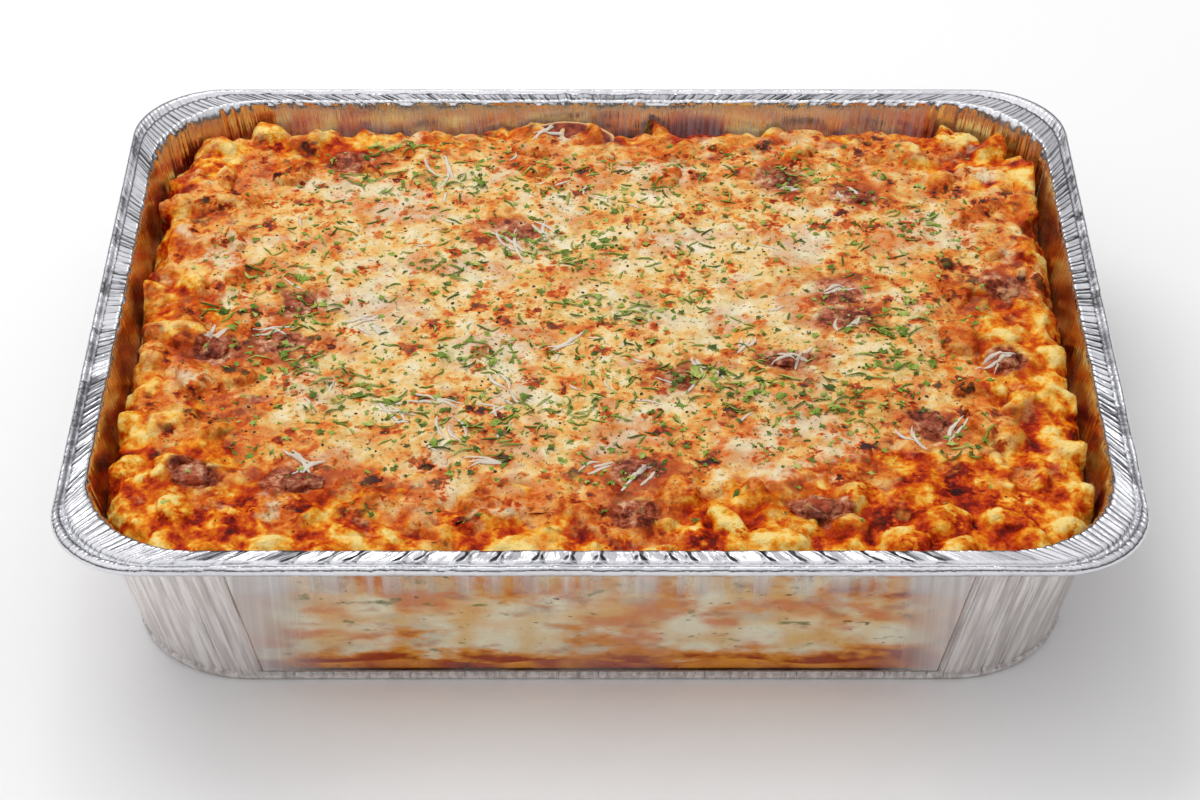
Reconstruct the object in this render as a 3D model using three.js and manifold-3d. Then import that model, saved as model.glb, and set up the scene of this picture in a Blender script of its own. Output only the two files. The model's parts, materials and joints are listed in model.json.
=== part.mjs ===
// A baked pasta meal in its half-size foil tray, as a three.js scene graph.
// Millimetres, +Z up. The origin is the middle of the tray's underside and the long side is along X.
import * as THREE from 'three';
import { mergeVertices } from 'three/addons/utils/BufferGeometryUtils.js';
import Module from 'manifold-3d';

const wasm = await Module();
wasm.setup();

// ---- Driving sizes --------------------------------------------------------------------------

// The tray, from its rolled rim down to its underside
const RIM_LENGTH = 324;
const RIM_WIDTH = 264;
const TRAY_HEIGHT = 60;
const FLANGE = 9;
const RIM_CORNER = 29;
const OPEN_CORNER = 36.5;
const BASE_CORNER = 36;
const WALL_LEAN = 11.4;
const WALL = 0.6;
const BEAD_HEIGHT = 3;
const LEDGE_OUT = 0.9;
const LEDGE_HEIGHT = 3;

// The tray in section. Inside and outside of the wall: the height, and how far out of the wall's
// inner face. The rim runs from the opening's edge over the bead and back underneath: the share of
// the way out, the height, and the share of the pleats' depth that it takes.
const WALL_INSIDE = [
  { z: WALL, out: -3 },
  { z: WALL + 1.8, out: -0.3 },
  { z: TRAY_HEIGHT - 1.2, out: 0 },
];
const RIM_SECTION = [
  { share: 0.1, z: TRAY_HEIGHT, pleated: 0.8 },
  { share: 0.76, z: TRAY_HEIGHT - 0.1, pleated: 1 },
  { share: 0.83, z: TRAY_HEIGHT - 0.8, pleated: 0.5 },
  { share: 0.91, z: TRAY_HEIGHT - 0.3, pleated: 0 },
  { share: 1, z: TRAY_HEIGHT - 1.2, pleated: 0 },
  { share: 0.98, z: TRAY_HEIGHT - BEAD_HEIGHT + 0.3, pleated: 0 },
  { share: 0.9, z: TRAY_HEIGHT - BEAD_HEIGHT, pleated: 0 },
  { share: 0.76, z: TRAY_HEIGHT - 0.8, pleated: 1 },
  { share: 0.16, z: TRAY_HEIGHT - 0.8, pleated: 0.8 },
];
const WALL_OUTSIDE = [
  { z: TRAY_HEIGHT - 1.8, out: WALL },
  { z: LEDGE_HEIGHT + 0.4, out: WALL },
  { z: LEDGE_HEIGHT - 0.5, out: WALL + LEDGE_OUT },
  { z: 0.8, out: WALL + 0.6 },
  { z: 0, out: WALL - 0.5 },
];

// Pleats where the foil is gathered at the corners
const CORNER_STEPS = 18;
const FLANGE_PLEAT = 0.5;
const WALL_PLEAT = 0.45;

// The clear panel in the middle of the front wall. It takes this share of the wall's flat stretch,
// so its sides lean as the wall's corners do.
const WINDOW_SHARE = 0.96;
const WINDOW_FROM = 4;
const WINDOW_TO = 56;

// How far a cutting piece reaches beyond what it cuts
const THROUGH = 2;

// The food, which comes to just under the rim. Meat and cheese are seated in it with a small gap.
const GAP = 0.3;
const SAUCE_TOP = 8;
const SAUCE_WAVE = 1.4;
const FOOD_CONTACT = 40;
const FOOD_SHRINK = 2.6;
const FILLING_TOP = 51.4;
const FOOD_LIMIT = 55.3;
const CHEESE_BOTTOM = 50.8;
const CHEESE_TOP = 53.7;
const CHEESE_HALF_X = 118;
const CHEESE_HALF_Y = 90;
const CHEESE_CENTRE = new THREE.Vector2(-2, 13);
const CHEESE_SIDES = 48;

const TURN = 2 * Math.PI;
const QUARTER = Math.PI / 2;
const WELD = 1e-4;
const NEAR = 0.03;
const NEEDLE = 0.005;

// ---- Seeded chance and smooth noise -----------------------------------------------------------

// Park and Miller's generator, so that every run gives the same food.
function makeChance(seed) {
  let state = seed;
  return (low = 0, high = 1) => {
    state = (state * 16807) % 2147483647;
    return low + (high - low) * (state / 2147483647);
  };
}

// A slow wave over the plan, between -1 and 1.
function wave(x, y, length, phase) {
  const k = TURN / length;
  return 0.5 * Math.sin(k * x + 1.3 * Math.sin(0.7 * k * y) + phase)
    + 0.5 * Math.sin(k * 0.8 * y + 1.1 * Math.sin(0.9 * k * x) + 2 * phase);
}

// ---- From geometry to solids and back ---------------------------------------------------------

function toSolid(geometry) {
  const bare = geometry.clone();
  bare.deleteAttribute('normal');
  bare.deleteAttribute('uv');
  const welded = mergeVertices(bare, WELD);
  return new wasm.Manifold(new wasm.Mesh({
    numProp: 3,
    vertProperties: new Float32Array(welded.attributes.position.array),
    triVerts: new Uint32Array(welded.index.array),
  }));
}

// Every directed edge of the triangles under "a,b", with its triangle's number and the corner across.
function edgesOf(triangles) {
  const edges = new Map();
  triangles.forEach((corners, number) => {
    corners.forEach((a, k) => {
      const b = corners[(k + 1) % 3];
      edges.set(`${a},${b}`, { a, b, number, across: corners[(k + 2) % 3] });
    });
  });
  return edges;
}

// Cuts leave corners that all but touch. Each such pair becomes one corner, if nothing is pinched.
function mergeNearCorners(points, triangles) {
  for (;;) {
    const edges = edgesOf(triangles);
    const all = [...edges.values()];
    const near = all.find(({ a, b }) => {
      if (points[a].distanceTo(points[b]) > NEAR) return false;
      const shared = all.filter((edge) => edge.a === a && edges.has(`${b},${edge.b}`));
      return shared.length === 2;
    });
    if (!near) return triangles;
    const moved = triangles.map((corners) => corners.map((c) => (c === near.b ? near.a : c)));
    triangles = moved.filter((corners) => new Set(corners).size === 3);
  }
}

// Cuts also leave needles, triangles with no height. Each gives its long side away: the two corners
// across from that side are joined instead.
function flipNeedles(points, triangles) {
  const height = (corners) => {
    const [a, b, c] = corners.map((i) => points[i]);
    const long = Math.max(a.distanceTo(b), b.distanceTo(c), c.distanceTo(a));
    return 2 * new THREE.Triangle(a, b, c).getArea() / long;
  };
  for (;;) {
    const edges = edgesOf(triangles);
    const flip = triangles.flatMap((corners, number) => {
      if (height(corners) > NEEDLE) return [];
      return corners.map((a, k) => {
        const b = corners[(k + 1) % 3];
        const c = corners[(k + 2) % 3];
        const { number: other, across: d } = edges.get(`${b},${a}`);
        return { number, other, first: [a, d, c], second: [d, b, c], joined: edges.has(`${c},${d}`) };
      });
    }).filter(({ joined }) => !joined).find(({ number, other, first, second }) => {
      const before = Math.min(height(triangles[number]), height(triangles[other]));
      return Math.min(height(first), height(second)) > 2 * before;
    });
    if (!flip) return triangles;
    triangles[flip.number] = flip.first;
    triangles[flip.other] = flip.second;
  }
}

function toGeometry(solid) {
  const { vertProperties, triVerts } = solid.getMesh();
  const points = [];
  for (let i = 0; i < vertProperties.length; i += 3) {
    points.push(new THREE.Vector3().fromArray(vertProperties, i));
  }
  const triangles = [];
  for (let i = 0; i < triVerts.length; i += 3) {
    triangles.push([...triVerts.subarray(i, i + 3)]);
  }
  const geometry = fromTriangles(points, flipNeedles(points, mergeNearCorners(points, triangles)).flat());
  return mergeVertices(geometry, WELD);
}

function fromTriangles(points, triangles) {
  const geometry = new THREE.BufferGeometry();
  const numbers = points.flatMap((p) => [p.x, p.y, p.z]);
  geometry.setAttribute('position', new THREE.Float32BufferAttribute(numbers, 3));
  geometry.setIndex(triangles);
  return geometry;
}

// Skins a stack of closed rings that run anticlockwise. The first is closed by a fan that faces up,
// the last by one that faces down.
function loft(rings) {
  const count = rings[0].length;
  const points = rings.flat();
  const triangles = [];
  for (let r = 0; r + 1 < rings.length; r++) {
    for (let i = 0; i < count; i++) {
      const a = r * count + i;
      const b = r * count + (i + 1) % count;
      triangles.push(a, a + count, b + count, a, b + count, b);
    }
  }
  const cap = (ring, first, up) => {
    const middle = ring.reduce((sum, p) => sum.add(p), new THREE.Vector3()).divideScalar(count);
    const hub = points.push(middle) - 1;
    for (let i = 0; i < count; i++) {
      const a = first + i;
      const b = first + (i + 1) % count;
      triangles.push(hub, up ? a : b, up ? b : a);
    }
  };
  cap(rings[0], 0, true);
  cap(rings[rings.length - 1], (rings.length - 1) * count, false);
  return fromTriangles(points, triangles);
}

// ---- Outlines of the tray ---------------------------------------------------------------------

const openHalf = new THREE.Vector2(RIM_LENGTH / 2 - FLANGE, RIM_WIDTH / 2 - FLANGE);
const RIM = { half: new THREE.Vector2(RIM_LENGTH / 2, RIM_WIDTH / 2), corner: RIM_CORNER };
const OPEN = { half: openHalf, corner: OPEN_CORNER };
const BASE = { half: openHalf.clone().subScalar(WALL_LEAN), corner: BASE_CORNER };
const CORNER_SIGNS = [[1, 1], [-1, 1], [-1, -1], [1, -1]];

// Places round a rounded oblong, anticlockwise from +X. Each lies in a corner, or at a share of the
// way along the straight side to the next one. "pleat" swings between -1 and 1 through a corner, and
// the pleats differ a little in depth.
function stations(longSteps, shortSteps, cornerSteps) {
  const list = [];
  CORNER_SIGNS.forEach((_, corner) => {
    for (let j = 0; j <= cornerSteps; j++) {
      const share = j / cornerSteps;
      const swell = Math.min(1, 4 * Math.sin(Math.PI * share)) * (0.8 + 0.2 * Math.sin(2.3 * j));
      list.push({
        from: corner,
        to: corner,
        along: 0,
        angle: (corner + share) * QUARTER,
        pleat: j % 2 ? swell : -swell,
        inCorner: 1,
      });
    }
    const steps = corner % 2 ? shortSteps : longSteps;
    for (let j = 1; j < steps; j++) {
      list.push({
        from: corner,
        to: (corner + 1) % 4,
        along: j / steps,
        angle: (corner + 1) * QUARTER,
        pleat: 0,
        inCorner: 0,
      });
    }
  });
  return list;
}

const outward = (s) => new THREE.Vector3(Math.cos(s.angle), Math.sin(s.angle), 0);

function outlinePoint(outline, s) {
  const centre = (corner) => new THREE.Vector3(
    CORNER_SIGNS[corner][0] * (outline.half.x - outline.corner),
    CORNER_SIGNS[corner][1] * (outline.half.y - outline.corner),
    0,
  );
  return centre(s.from).lerp(centre(s.to), s.along).addScaledVector(outward(s), outline.corner);
}

// A point on the wall's inner face at height z, moved outwards by "out".
function wallPoint(s, z, out = 0) {
  const point = outlinePoint(BASE, s).lerp(outlinePoint(OPEN, s), z / TRAY_HEIGHT);
  return point.addScaledVector(outward(s), out).setZ(z);
}

// ---- The foil tray ----------------------------------------------------------------------------

// One ring on the wall, its pleats fading out towards the underside.
function wallRing(places, { z, out }) {
  return places.map((s) => wallPoint(s, z, out + WALL_PLEAT * s.pleat * z / TRAY_HEIGHT));
}

// One ring on the rim, at a share of the way from the opening's edge to the outer edge.
function rimRing(places, { share, z, pleated }) {
  return places.map((s) => {
    const point = outlinePoint(OPEN, s).lerp(outlinePoint(RIM, s), share);
    return point.setZ(z + pleated * FLANGE_PLEAT * (s.pleat - s.inCorner));
  });
}

function trayShell() {
  const places = stations(6, 5, CORNER_STEPS);
  return toSolid(loft([
    ...WALL_INSIDE.map((level) => wallRing(places, level)),
    ...RIM_SECTION.map((level) => rimRing(places, level)),
    ...WALL_OUTSIDE.map((level) => wallRing(places, level)),
  ]));
}

// A flat piece in the plane of the front wall: "grow" widens it, "from" and "to" are its depths
// outwards from the wall's inner face.
function windowPiece(grow, from, to) {
  const slope = new THREE.Vector3(0, -WALL_LEAN, TRAY_HEIGHT).normalize();
  const across = new THREE.Vector3(1, 0, 0);
  const flatHalf = (outline) => outline.half.x - outline.corner;
  const corner = (side, z, rise) => new THREE.Vector2(
    side * (WINDOW_SHARE * THREE.MathUtils.lerp(flatHalf(BASE), flatHalf(OPEN), z / TRAY_HEIGHT) + grow),
    z / slope.z + rise * grow,
  );
  const shape = new THREE.Shape([
    corner(-1, WINDOW_FROM, -1),
    corner(1, WINDOW_FROM, -1),
    corner(1, WINDOW_TO, 1),
    corner(-1, WINDOW_TO, 1),
  ]);
  const plate = new THREE.ExtrudeGeometry(shape, { depth: to - from, bevelEnabled: false });
  plate.translate(0, 0, from);
  plate.applyMatrix4(new THREE.Matrix4().makeBasis(across, slope, across.clone().cross(slope)));
  plate.translate(0, -BASE.half.y, 0);
  return plate;
}

function foilTray() {
  return trayShell().subtract(toSolid(windowPiece(GAP, -THROUGH, WALL + THROUGH)));
}

// ---- Sauce and the room for the food ------------------------------------------------------------

const foodPlaces = stations(32, 24, 7);

// The food keeps clear of the wall, and a little more so where the wall is pleated.
const clearance = (s) => GAP + s.inCorner * 2 * WALL_PLEAT;

const foodPoint = (s, z, inset) => wallPoint(s, z, -Math.max(inset, clearance(s)));

// The uneven line between the sauce and the filling above it.
function sauceLine(s) {
  const edge = wallPoint(s, SAUCE_TOP);
  return SAUCE_TOP + SAUCE_WAVE * wave(edge.x, edge.y, 47, 1.2);
}

function sauceLayer() {
  return loft([
    foodPlaces.map((s) => foodPoint(s, sauceLine(s), 0)),
    foodPlaces.map((s) => foodPoint(s, 3, 1.2)),
    foodPlaces.map((s) => foodPoint(s, WALL + GAP, 3.8)),
  ]);
}

// ---- Lumps ------------------------------------------------------------------------------------

// Where a lump lies: its three sizes, turned, tilted along its length and rolled about it.
function lumpMatrix({ x, y, z, length, width, height, turn = 0, tilt = 0, roll = 0 }) {
  const attitude = new THREE.Quaternion().setFromEuler(new THREE.Euler(roll, tilt, turn, 'ZYX'));
  const size = new THREE.Vector3(length / 2, width / 2, height / 2);
  return new THREE.Matrix4().compose(new THREE.Vector3(x, y, z), attitude, size);
}

// A rounded, slightly uneven lump with few sides.
function lump(piece) {
  const ball = new THREE.IcosahedronGeometry(1, 1);
  const position = ball.attributes.position;
  const point = new THREE.Vector3();
  for (let i = 0; i < position.count; i++) {
    point.fromBufferAttribute(position, i);
    const bulge = Math.sin(3.1 * point.x + piece.x) * Math.cos(2.7 * point.y + piece.y + point.z);
    point.multiplyScalar(1 + 0.07 * bulge);
    position.setXYZ(i, point.x, point.y, point.z);
  }
  return ball.applyMatrix4(lumpMatrix(piece));
}

// Gnocchi and pasta stand out of the filling in rows round its edge. Each row goes round at its own
// inset from the wall, and its lumps reach up to "top".
const LUMP_ROWS = [
  { inset: 9, spacing: 19, top: 54.4, seed: 11 },
  { inset: 21, spacing: 22, top: 55.2, seed: 29 },
  { inset: 34, spacing: 25, top: 55.2, seed: 53 },
];

function lumpRow({ inset, spacing, top, seed }) {
  const chance = makeChance(seed);
  const places = stations(60, 60, 20);
  const path = places.map((s) => wallPoint(s, FILLING_TOP, -inset));
  const row = [];
  let walked = 0;
  let next = chance(0, spacing);
  path.forEach((point, i) => {
    walked += i ? point.distanceTo(path[i - 1]) : 0;
    if (walked < next) return;
    next += spacing * chance(0.8, 1.2);
    const height = chance(9, 12);
    row.push({
      x: point.x + chance(-2.5, 2.5),
      y: point.y + chance(-2.5, 2.5),
      z: top - chance(0, 2) - height / 2,
      length: chance(15, 21),
      width: chance(11.5, 14.5),
      height,
      turn: places[i].angle + QUARTER + chance(-1.1, 1.1),
      tilt: chance(-0.15, 0.15),
    });
  });
  return row;
}

const lumpFrames = LUMP_ROWS.flatMap(lumpRow).map((piece) => lumpMatrix(piece).invert());

// How far a line from a point runs before it leaves the last of the lumps, or 0.
function reachOfLumps(point, direction) {
  let farthest = 0;
  lumpFrames.forEach((frame) => {
    const from = point.clone().applyMatrix4(frame);
    const step = point.clone().add(direction).applyMatrix4(frame).sub(from);
    const a = step.dot(step);
    const b = from.dot(step);
    const inside = b * b - a * (from.dot(from) - 1);
    if (inside > 0) farthest = Math.max(farthest, (Math.sqrt(inside) - b) / a);
  });
  return farthest;
}

// The browned meat pieces: place, size over the longer and shorter way, and turn.
const MEAT = [
  { x: 132, y: 20, length: 17, width: 14, turn: 0.3 },
  { x: 129, y: -20, length: 12, width: 9, turn: -0.4 },
  { x: 77, y: 16, length: 14, width: 11, turn: 0.5 },
  { x: 80, y: 1, length: 15, width: 10, turn: 0.1 },
  { x: 86, y: 72, length: 15, width: 9, turn: 0.2 },
  { x: 61, y: 83, length: 14, width: 10, turn: 2.6 },
  { x: -86, y: 94, length: 16, width: 11, turn: 0.4 },
  { x: -30, y: 51, length: 15, width: 11, turn: 0.1 },
  { x: -122, y: -13, length: 14, width: 11, turn: 2.6 },
  { x: -102, y: -13, length: 15, width: 12, turn: 0.7 },
  { x: -97, y: 10, length: 14, width: 11, turn: 1.4 },
  { x: 25, y: -31, length: 13, width: 11, turn: 1.2 },
  { x: 60, y: -21, length: 16, width: 9, turn: 0.1 },
  { x: 103, y: -54, length: 15, width: 11, turn: 2.3 },
  { x: 10, y: -77, length: 16, width: 11, turn: 0.3 },
  { x: 10, y: -98, length: 15, width: 10, turn: 0.6 },
  { x: 65, y: -95, length: 18, width: 12, turn: 2.9 },
  { x: -123, y: -78, length: 15, width: 10, turn: 2.7 },
  { x: -91, y: -82, length: 17, width: 10, turn: -0.1 },
];
const MEAT_HEIGHT = 7;
const MEAT_MIDDLE = 51.7;

// The red slice at the back, which lies across the lumps with its far edge curled up
const SLICE = { x: -9, y: 111, z: 52.3, length: 30, width: 14, height: 4, turn: -0.25, roll: 0.3 };

const widened = (piece, grow) => lump({
  ...piece,
  length: piece.length + 2 * grow,
  width: piece.width + 2 * grow,
  height: piece.height + 2 * grow,
});

const seated = [...MEAT.map((piece) => ({ ...piece, z: MEAT_MIDDLE, height: MEAT_HEIGHT })), SLICE];

// The pockets are a little wider all round than the pieces that sit in them.
const POCKET = 0.55;
const pockets = wasm.Manifold.union(seated.map((piece) => toSolid(widened(piece, POCKET))));

// ---- The melted cheese ------------------------------------------------------------------------

// Distance from the blanket's middle to its wandering edge.
function cheeseReach(angle) {
  const oblong = (Math.abs(Math.cos(angle) / CHEESE_HALF_X) ** 4
    + Math.abs(Math.sin(angle) / CHEESE_HALF_Y) ** 4) ** -0.25;
  const wander = 0.035 * Math.sin(3 * angle + 1) + 0.03 * Math.sin(7 * angle)
    + 0.02 * Math.sin(13 * angle + 2);
  return oblong * (1 + wander);
}

function cheeseOutline(grow) {
  const points = [];
  for (let i = 0; i < CHEESE_SIDES; i++) {
    const angle = TURN * i / CHEESE_SIDES;
    const reach = cheeseReach(angle) + grow;
    points.push(new THREE.Vector2(reach * Math.cos(angle), reach * Math.sin(angle)).add(CHEESE_CENTRE));
  }
  return new THREE.Shape(points);
}

function cheesePlate(grow, from, to) {
  const plate = new THREE.ExtrudeGeometry(cheeseOutline(grow), { depth: to - from, bevelEnabled: false });
  plate.translate(0, 0, from);
  return toSolid(plate);
}

// The blanket's upper face: slow swells with blisters, thinning towards its edge.
function cheeseTop(x, y) {
  const dx = x - CHEESE_CENTRE.x;
  const dy = y - CHEESE_CENTRE.y;
  const share = Math.hypot(dx, dy) / cheeseReach(Math.atan2(dy, dx));
  const thinning = THREE.MathUtils.smoothstep(share, 0.86, 1.02);
  const swell = 0.35 * wave(x, y, 61, 0.6) + 0.3 * wave(x, y, 27, 2.1);
  return CHEESE_TOP + swell - thinning;
}

function cheeseBlanket() {
  const width = 2.2 * CHEESE_HALF_X;
  const depth = 2.2 * CHEESE_HALF_Y;
  const height = 20;
  const sheet = new THREE.BoxGeometry(width, depth, height, 17, 13, 1);
  sheet.translate(CHEESE_CENTRE.x, CHEESE_CENTRE.y, CHEESE_TOP - height / 2);
  const position = sheet.attributes.position;
  for (let i = 0; i < position.count; i++) {
    if (position.getZ(i) < CHEESE_TOP - 1) continue;
    position.setZ(i, cheeseTop(position.getX(i), position.getY(i)));
  }
  return toSolid(sheet).intersect(cheesePlate(0, CHEESE_BOTTOM, FOOD_LIMIT + THROUGH));
}

// ---- Parsley and grated cheese, fused to the blanket -------------------------------------------

const PARSLEY_COUNT = 24;
const SHRED_COUNT = 8;
const FLAKE_THICK = 0.4;

// A random place on the blanket, clear of the meat by "room".
function placeOnCheese(chance, room) {
  for (;;) {
    const angle = chance(0, TURN);
    const reach = cheeseReach(angle) * Math.sqrt(chance()) * 0.88;
    const x = CHEESE_CENTRE.x + reach * Math.cos(angle);
    const y = CHEESE_CENTRE.y + reach * Math.sin(angle);
    if (MEAT.every((m) => Math.hypot(m.x - x, m.y - y) > m.length / 2 + room)) return { x, y };
  }
}

// The places are tried in turn, and one that falls too near an earlier one is passed over.
function spread(count, apart, room, seed) {
  const chance = makeChance(seed);
  const places = [];
  let distance = apart;
  while (places.length < count) {
    const place = placeOnCheese(chance, room);
    if (places.every((p) => Math.hypot(p.x - place.x, p.y - place.y) > distance)) {
      places.push({ ...place, turn: chance(0, TURN), size: chance() });
    }
    distance *= 0.999;
  }
  return places;
}

// A chopped leaf: a wavy, pointed plate whose two faces are split alike. Its stalk end dips into
// the cheese and the rest stands just clear of it.
function flake({ x, y, turn, size }) {
  const long = 4.4 + 3 * size;
  const half = 1.5 + 0.7 * size;
  const edge = [
    [long / 2, 0],
    [0, half],
    [-long / 2, 0.2 * half],
    [-0.25 * long, -half],
    [0.2 * long, -0.7 * half],
  ];
  const lift = [0.5, 0.7, -0.7, 0.1, 0.6];
  const points = [];
  [FLAKE_THICK, 0].forEach((level) => {
    edge.forEach(([u, v], i) => points.push(new THREE.Vector3(u, v, level + lift[i])));
    points.push(new THREE.Vector3(0, 0, level + 0.35));
  });
  const triangles = [];
  const count = edge.length;
  for (let i = 0; i < count; i++) {
    const j = (i + 1) % count;
    triangles.push(count, i, j);
    triangles.push(2 * count + 1, count + 1 + j, count + 1 + i);
    triangles.push(i, count + 1 + i, count + 1 + j, i, count + 1 + j, j);
  }
  const leaf = fromTriangles(points, triangles);
  leaf.rotateZ(turn);
  leaf.translate(x, y, cheeseTop(x, y));
  return leaf;
}

// A grated shred: a narrow strip that bends sideways and dips into the blanket at both ends.
function shred({ x, y, turn, size }) {
  const length = 9 + 9 * size;
  const bend = 2.4 * (size - 0.4);
  const along = new THREE.Vector2(Math.cos(turn), Math.sin(turn));
  const spots = [-0.5, 0, 0.5].map((share) => {
    const arch = 1 - 4 * share * share;
    const side = bend * arch;
    const px = x + along.x * share * length - along.y * side;
    const py = y + along.y * share * length + along.x * side;
    return new THREE.Vector3(px, py, cheeseTop(px, py) - 0.4 + 1.3 * arch);
  });
  const half = 0.55;
  const section = new THREE.Shape([
    new THREE.Vector2(-half, -half),
    new THREE.Vector2(half, -half),
    new THREE.Vector2(half, half),
    new THREE.Vector2(-half, half),
  ]);
  const extrudePath = new THREE.CatmullRomCurve3(spots);
  return new THREE.ExtrudeGeometry(section, { extrudePath, steps: 4, bevelEnabled: false });
}

function cheeseCrust() {
  const flakes = spread(PARSLEY_COUNT, 17, 5, 71).map(flake);
  const shreds = spread(SHRED_COUNT, 30, 9, 137).map(shred);
  const pieces = [...flakes, ...shreds].map(toSolid);
  return wasm.Manifold.union([cheeseBlanket(), ...pieces]).subtract(pockets);
}

// ---- The filling, with its lumps and the recess under the cheese -------------------------------

// Rings from the plateau out to the shoulder and down: height, inset from the wall, and how much
// of the outward way the skin takes as it is pushed out over the lumps. The innermost are shrunk
// copies, because the corners are too tight for a deeper inset.
const FILLING_RINGS = [
  { z: FILLING_TOP, inset: 30, sideways: 0, shrink: 0.87 },
  { z: FILLING_TOP, inset: 30, sideways: 0, shrink: 0.94 },
  { z: FILLING_TOP, inset: 30, sideways: 0 },
  { z: FILLING_TOP, inset: 24, sideways: 0 },
  { z: FILLING_TOP, inset: 18, sideways: 0 },
  { z: FILLING_TOP, inset: 12.5, sideways: 0 },
  { z: FILLING_TOP - 0.8, inset: 8, sideways: 0.35 },
  { z: FILLING_TOP - 3, inset: 4.6, sideways: 0.75 },
  { z: FOOD_CONTACT, inset: 0, sideways: 1 },
];

function fillingPoint(s, { z, inset, sideways, shrink = 1 }) {
  const shrunk = new THREE.Vector3(shrink, shrink, 1);
  const way = outward(s).multiplyScalar(sideways).setZ(Math.sqrt(1 - sideways * sideways));
  const reach = reachOfLumps(foodPoint(s, z, inset).multiply(shrunk), way);
  const height = Math.min(z + reach * way.z, FOOD_LIMIT);
  const least = FOOD_SHRINK * THREE.MathUtils.smoothstep(height, FOOD_CONTACT, FILLING_TOP);
  return foodPoint(s, height, Math.max(inset - reach * sideways, least)).multiply(shrunk);
}

function pastaFilling() {
  const skin = FILLING_RINGS.map((ring) => foodPlaces.map((s) => fillingPoint(s, ring)));
  const foot = foodPlaces.map((s) => foodPoint(s, sauceLine(s) + GAP, 0));
  const recess = cheesePlate(GAP, CHEESE_BOTTOM - GAP, FOOD_LIMIT + THROUGH);
  return toSolid(loft([...skin, foot])).subtract(recess.add(pockets));
}

// ---- The whole --------------------------------------------------------------------------------

const meal = new THREE.Group();

function addPart(name, geometry, color, roughness, metalness = 0) {
  const mesh = new THREE.Mesh(geometry, new THREE.MeshStandardMaterial({ color, roughness, metalness }));
  mesh.name = name;
  meal.add(mesh);
}

addPart('foil_tray', toGeometry(foilTray()), 0xcfcfd3, 0.3, 1);
addPart('front_window', windowPiece(0, 0, WALL), 0xe4dccf, 0.35);
addPart('sauce_layer', sauceLayer(), 0xa8481a, 0.5);
addPart('pasta_filling', toGeometry(pastaFilling()), 0xe2a75a, 0.6);
addPart('melted_cheese', toGeometry(cheeseCrust()), 0xf0d9a8, 0.5);
seated.forEach((piece, i) => {
  const name = piece === SLICE ? 'curled_slice' : `meat_${i + 1}`;
  addPart(name, widened(piece, 0), 0x8c3a20, 0.6);
});

export default meal;
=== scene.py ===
# %% [markdown]
# # A baked pasta meal in a foil tray
# This lesson dresses a finished set of solids: a foil tray with a clear front panel, a sauce layer,
# the pasta filling, a blanket of melted cheese and the browned meat on it. The solids come in as a
# fixed frame. What the eye reads as food is made here, at the solids' own places and sizes.

# %% Load the frame
import json
import math

import bmesh
import bpy
import numpy as np
from mathutils import Euler, Matrix, Vector

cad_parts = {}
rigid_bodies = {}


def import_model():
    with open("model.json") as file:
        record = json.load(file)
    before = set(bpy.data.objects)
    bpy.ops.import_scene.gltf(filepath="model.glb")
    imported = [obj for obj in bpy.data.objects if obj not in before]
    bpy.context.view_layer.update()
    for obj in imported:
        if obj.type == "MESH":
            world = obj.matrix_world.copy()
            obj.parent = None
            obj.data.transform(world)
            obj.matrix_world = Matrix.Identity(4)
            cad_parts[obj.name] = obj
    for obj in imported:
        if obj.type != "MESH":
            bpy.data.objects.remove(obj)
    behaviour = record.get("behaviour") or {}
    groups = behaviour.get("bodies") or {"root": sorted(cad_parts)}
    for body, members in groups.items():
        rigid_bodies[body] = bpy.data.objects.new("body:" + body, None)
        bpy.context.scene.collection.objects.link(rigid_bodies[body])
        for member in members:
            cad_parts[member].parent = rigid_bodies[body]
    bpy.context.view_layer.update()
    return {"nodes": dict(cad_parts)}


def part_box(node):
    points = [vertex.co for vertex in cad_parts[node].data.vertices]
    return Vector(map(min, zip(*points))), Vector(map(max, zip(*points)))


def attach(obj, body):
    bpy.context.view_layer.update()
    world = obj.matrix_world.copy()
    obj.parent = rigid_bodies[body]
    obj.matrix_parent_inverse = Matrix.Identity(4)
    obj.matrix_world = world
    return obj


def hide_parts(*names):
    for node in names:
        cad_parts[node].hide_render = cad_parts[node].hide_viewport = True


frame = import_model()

MM = 0.001

# %% [markdown]
# ## The camera
# A short lens close by would make the front of the tray look much wider than its back. A long lens
# from a metre away keeps the two alike. It looks down by 37 degrees, so that the food's whole top
# and the front wall both show.

# %% Camera
CAMERA_DISTANCE = 1.045
CAMERA_TILT = math.radians(37.05)
LOOK_AT_HEIGHT = 0.02145
LENS = 95.58
SENSOR_WIDTH = 36

camera_data = bpy.data.cameras.new("camera")
camera_data.lens = LENS
camera_data.sensor_width = SENSOR_WIDTH
camera = bpy.data.objects.new("camera", camera_data)
camera.location = (
    0,
    -CAMERA_DISTANCE * math.cos(CAMERA_TILT),
    LOOK_AT_HEIGHT + CAMERA_DISTANCE * math.sin(CAMERA_TILT),
)
camera.rotation_euler = (math.pi / 2 - CAMERA_TILT, 0, 0)
bpy.context.scene.collection.objects.link(camera)
bpy.context.scene.camera = camera
print("camera at", tuple(round(v, 3) for v in camera.location))

# %% [markdown]
# ## Lights
# Food shows its shape when the light comes from behind it. One large soft light at the back left
# does that, and it is kept out of the foil's reflections, where it would be a white blot. A small
# one beside it makes the glints.

# %% Lights
KEY_PLACE = (-0.6, 0.85, 1.2)
KEY_POWER = 9.4
KEY_SIZE = 1.0
GLINT_PLACE = (-0.1, 0.72, 1.15)
GLINT_POWER = 1.0
GLINT_SIZE = 0.25


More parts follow.
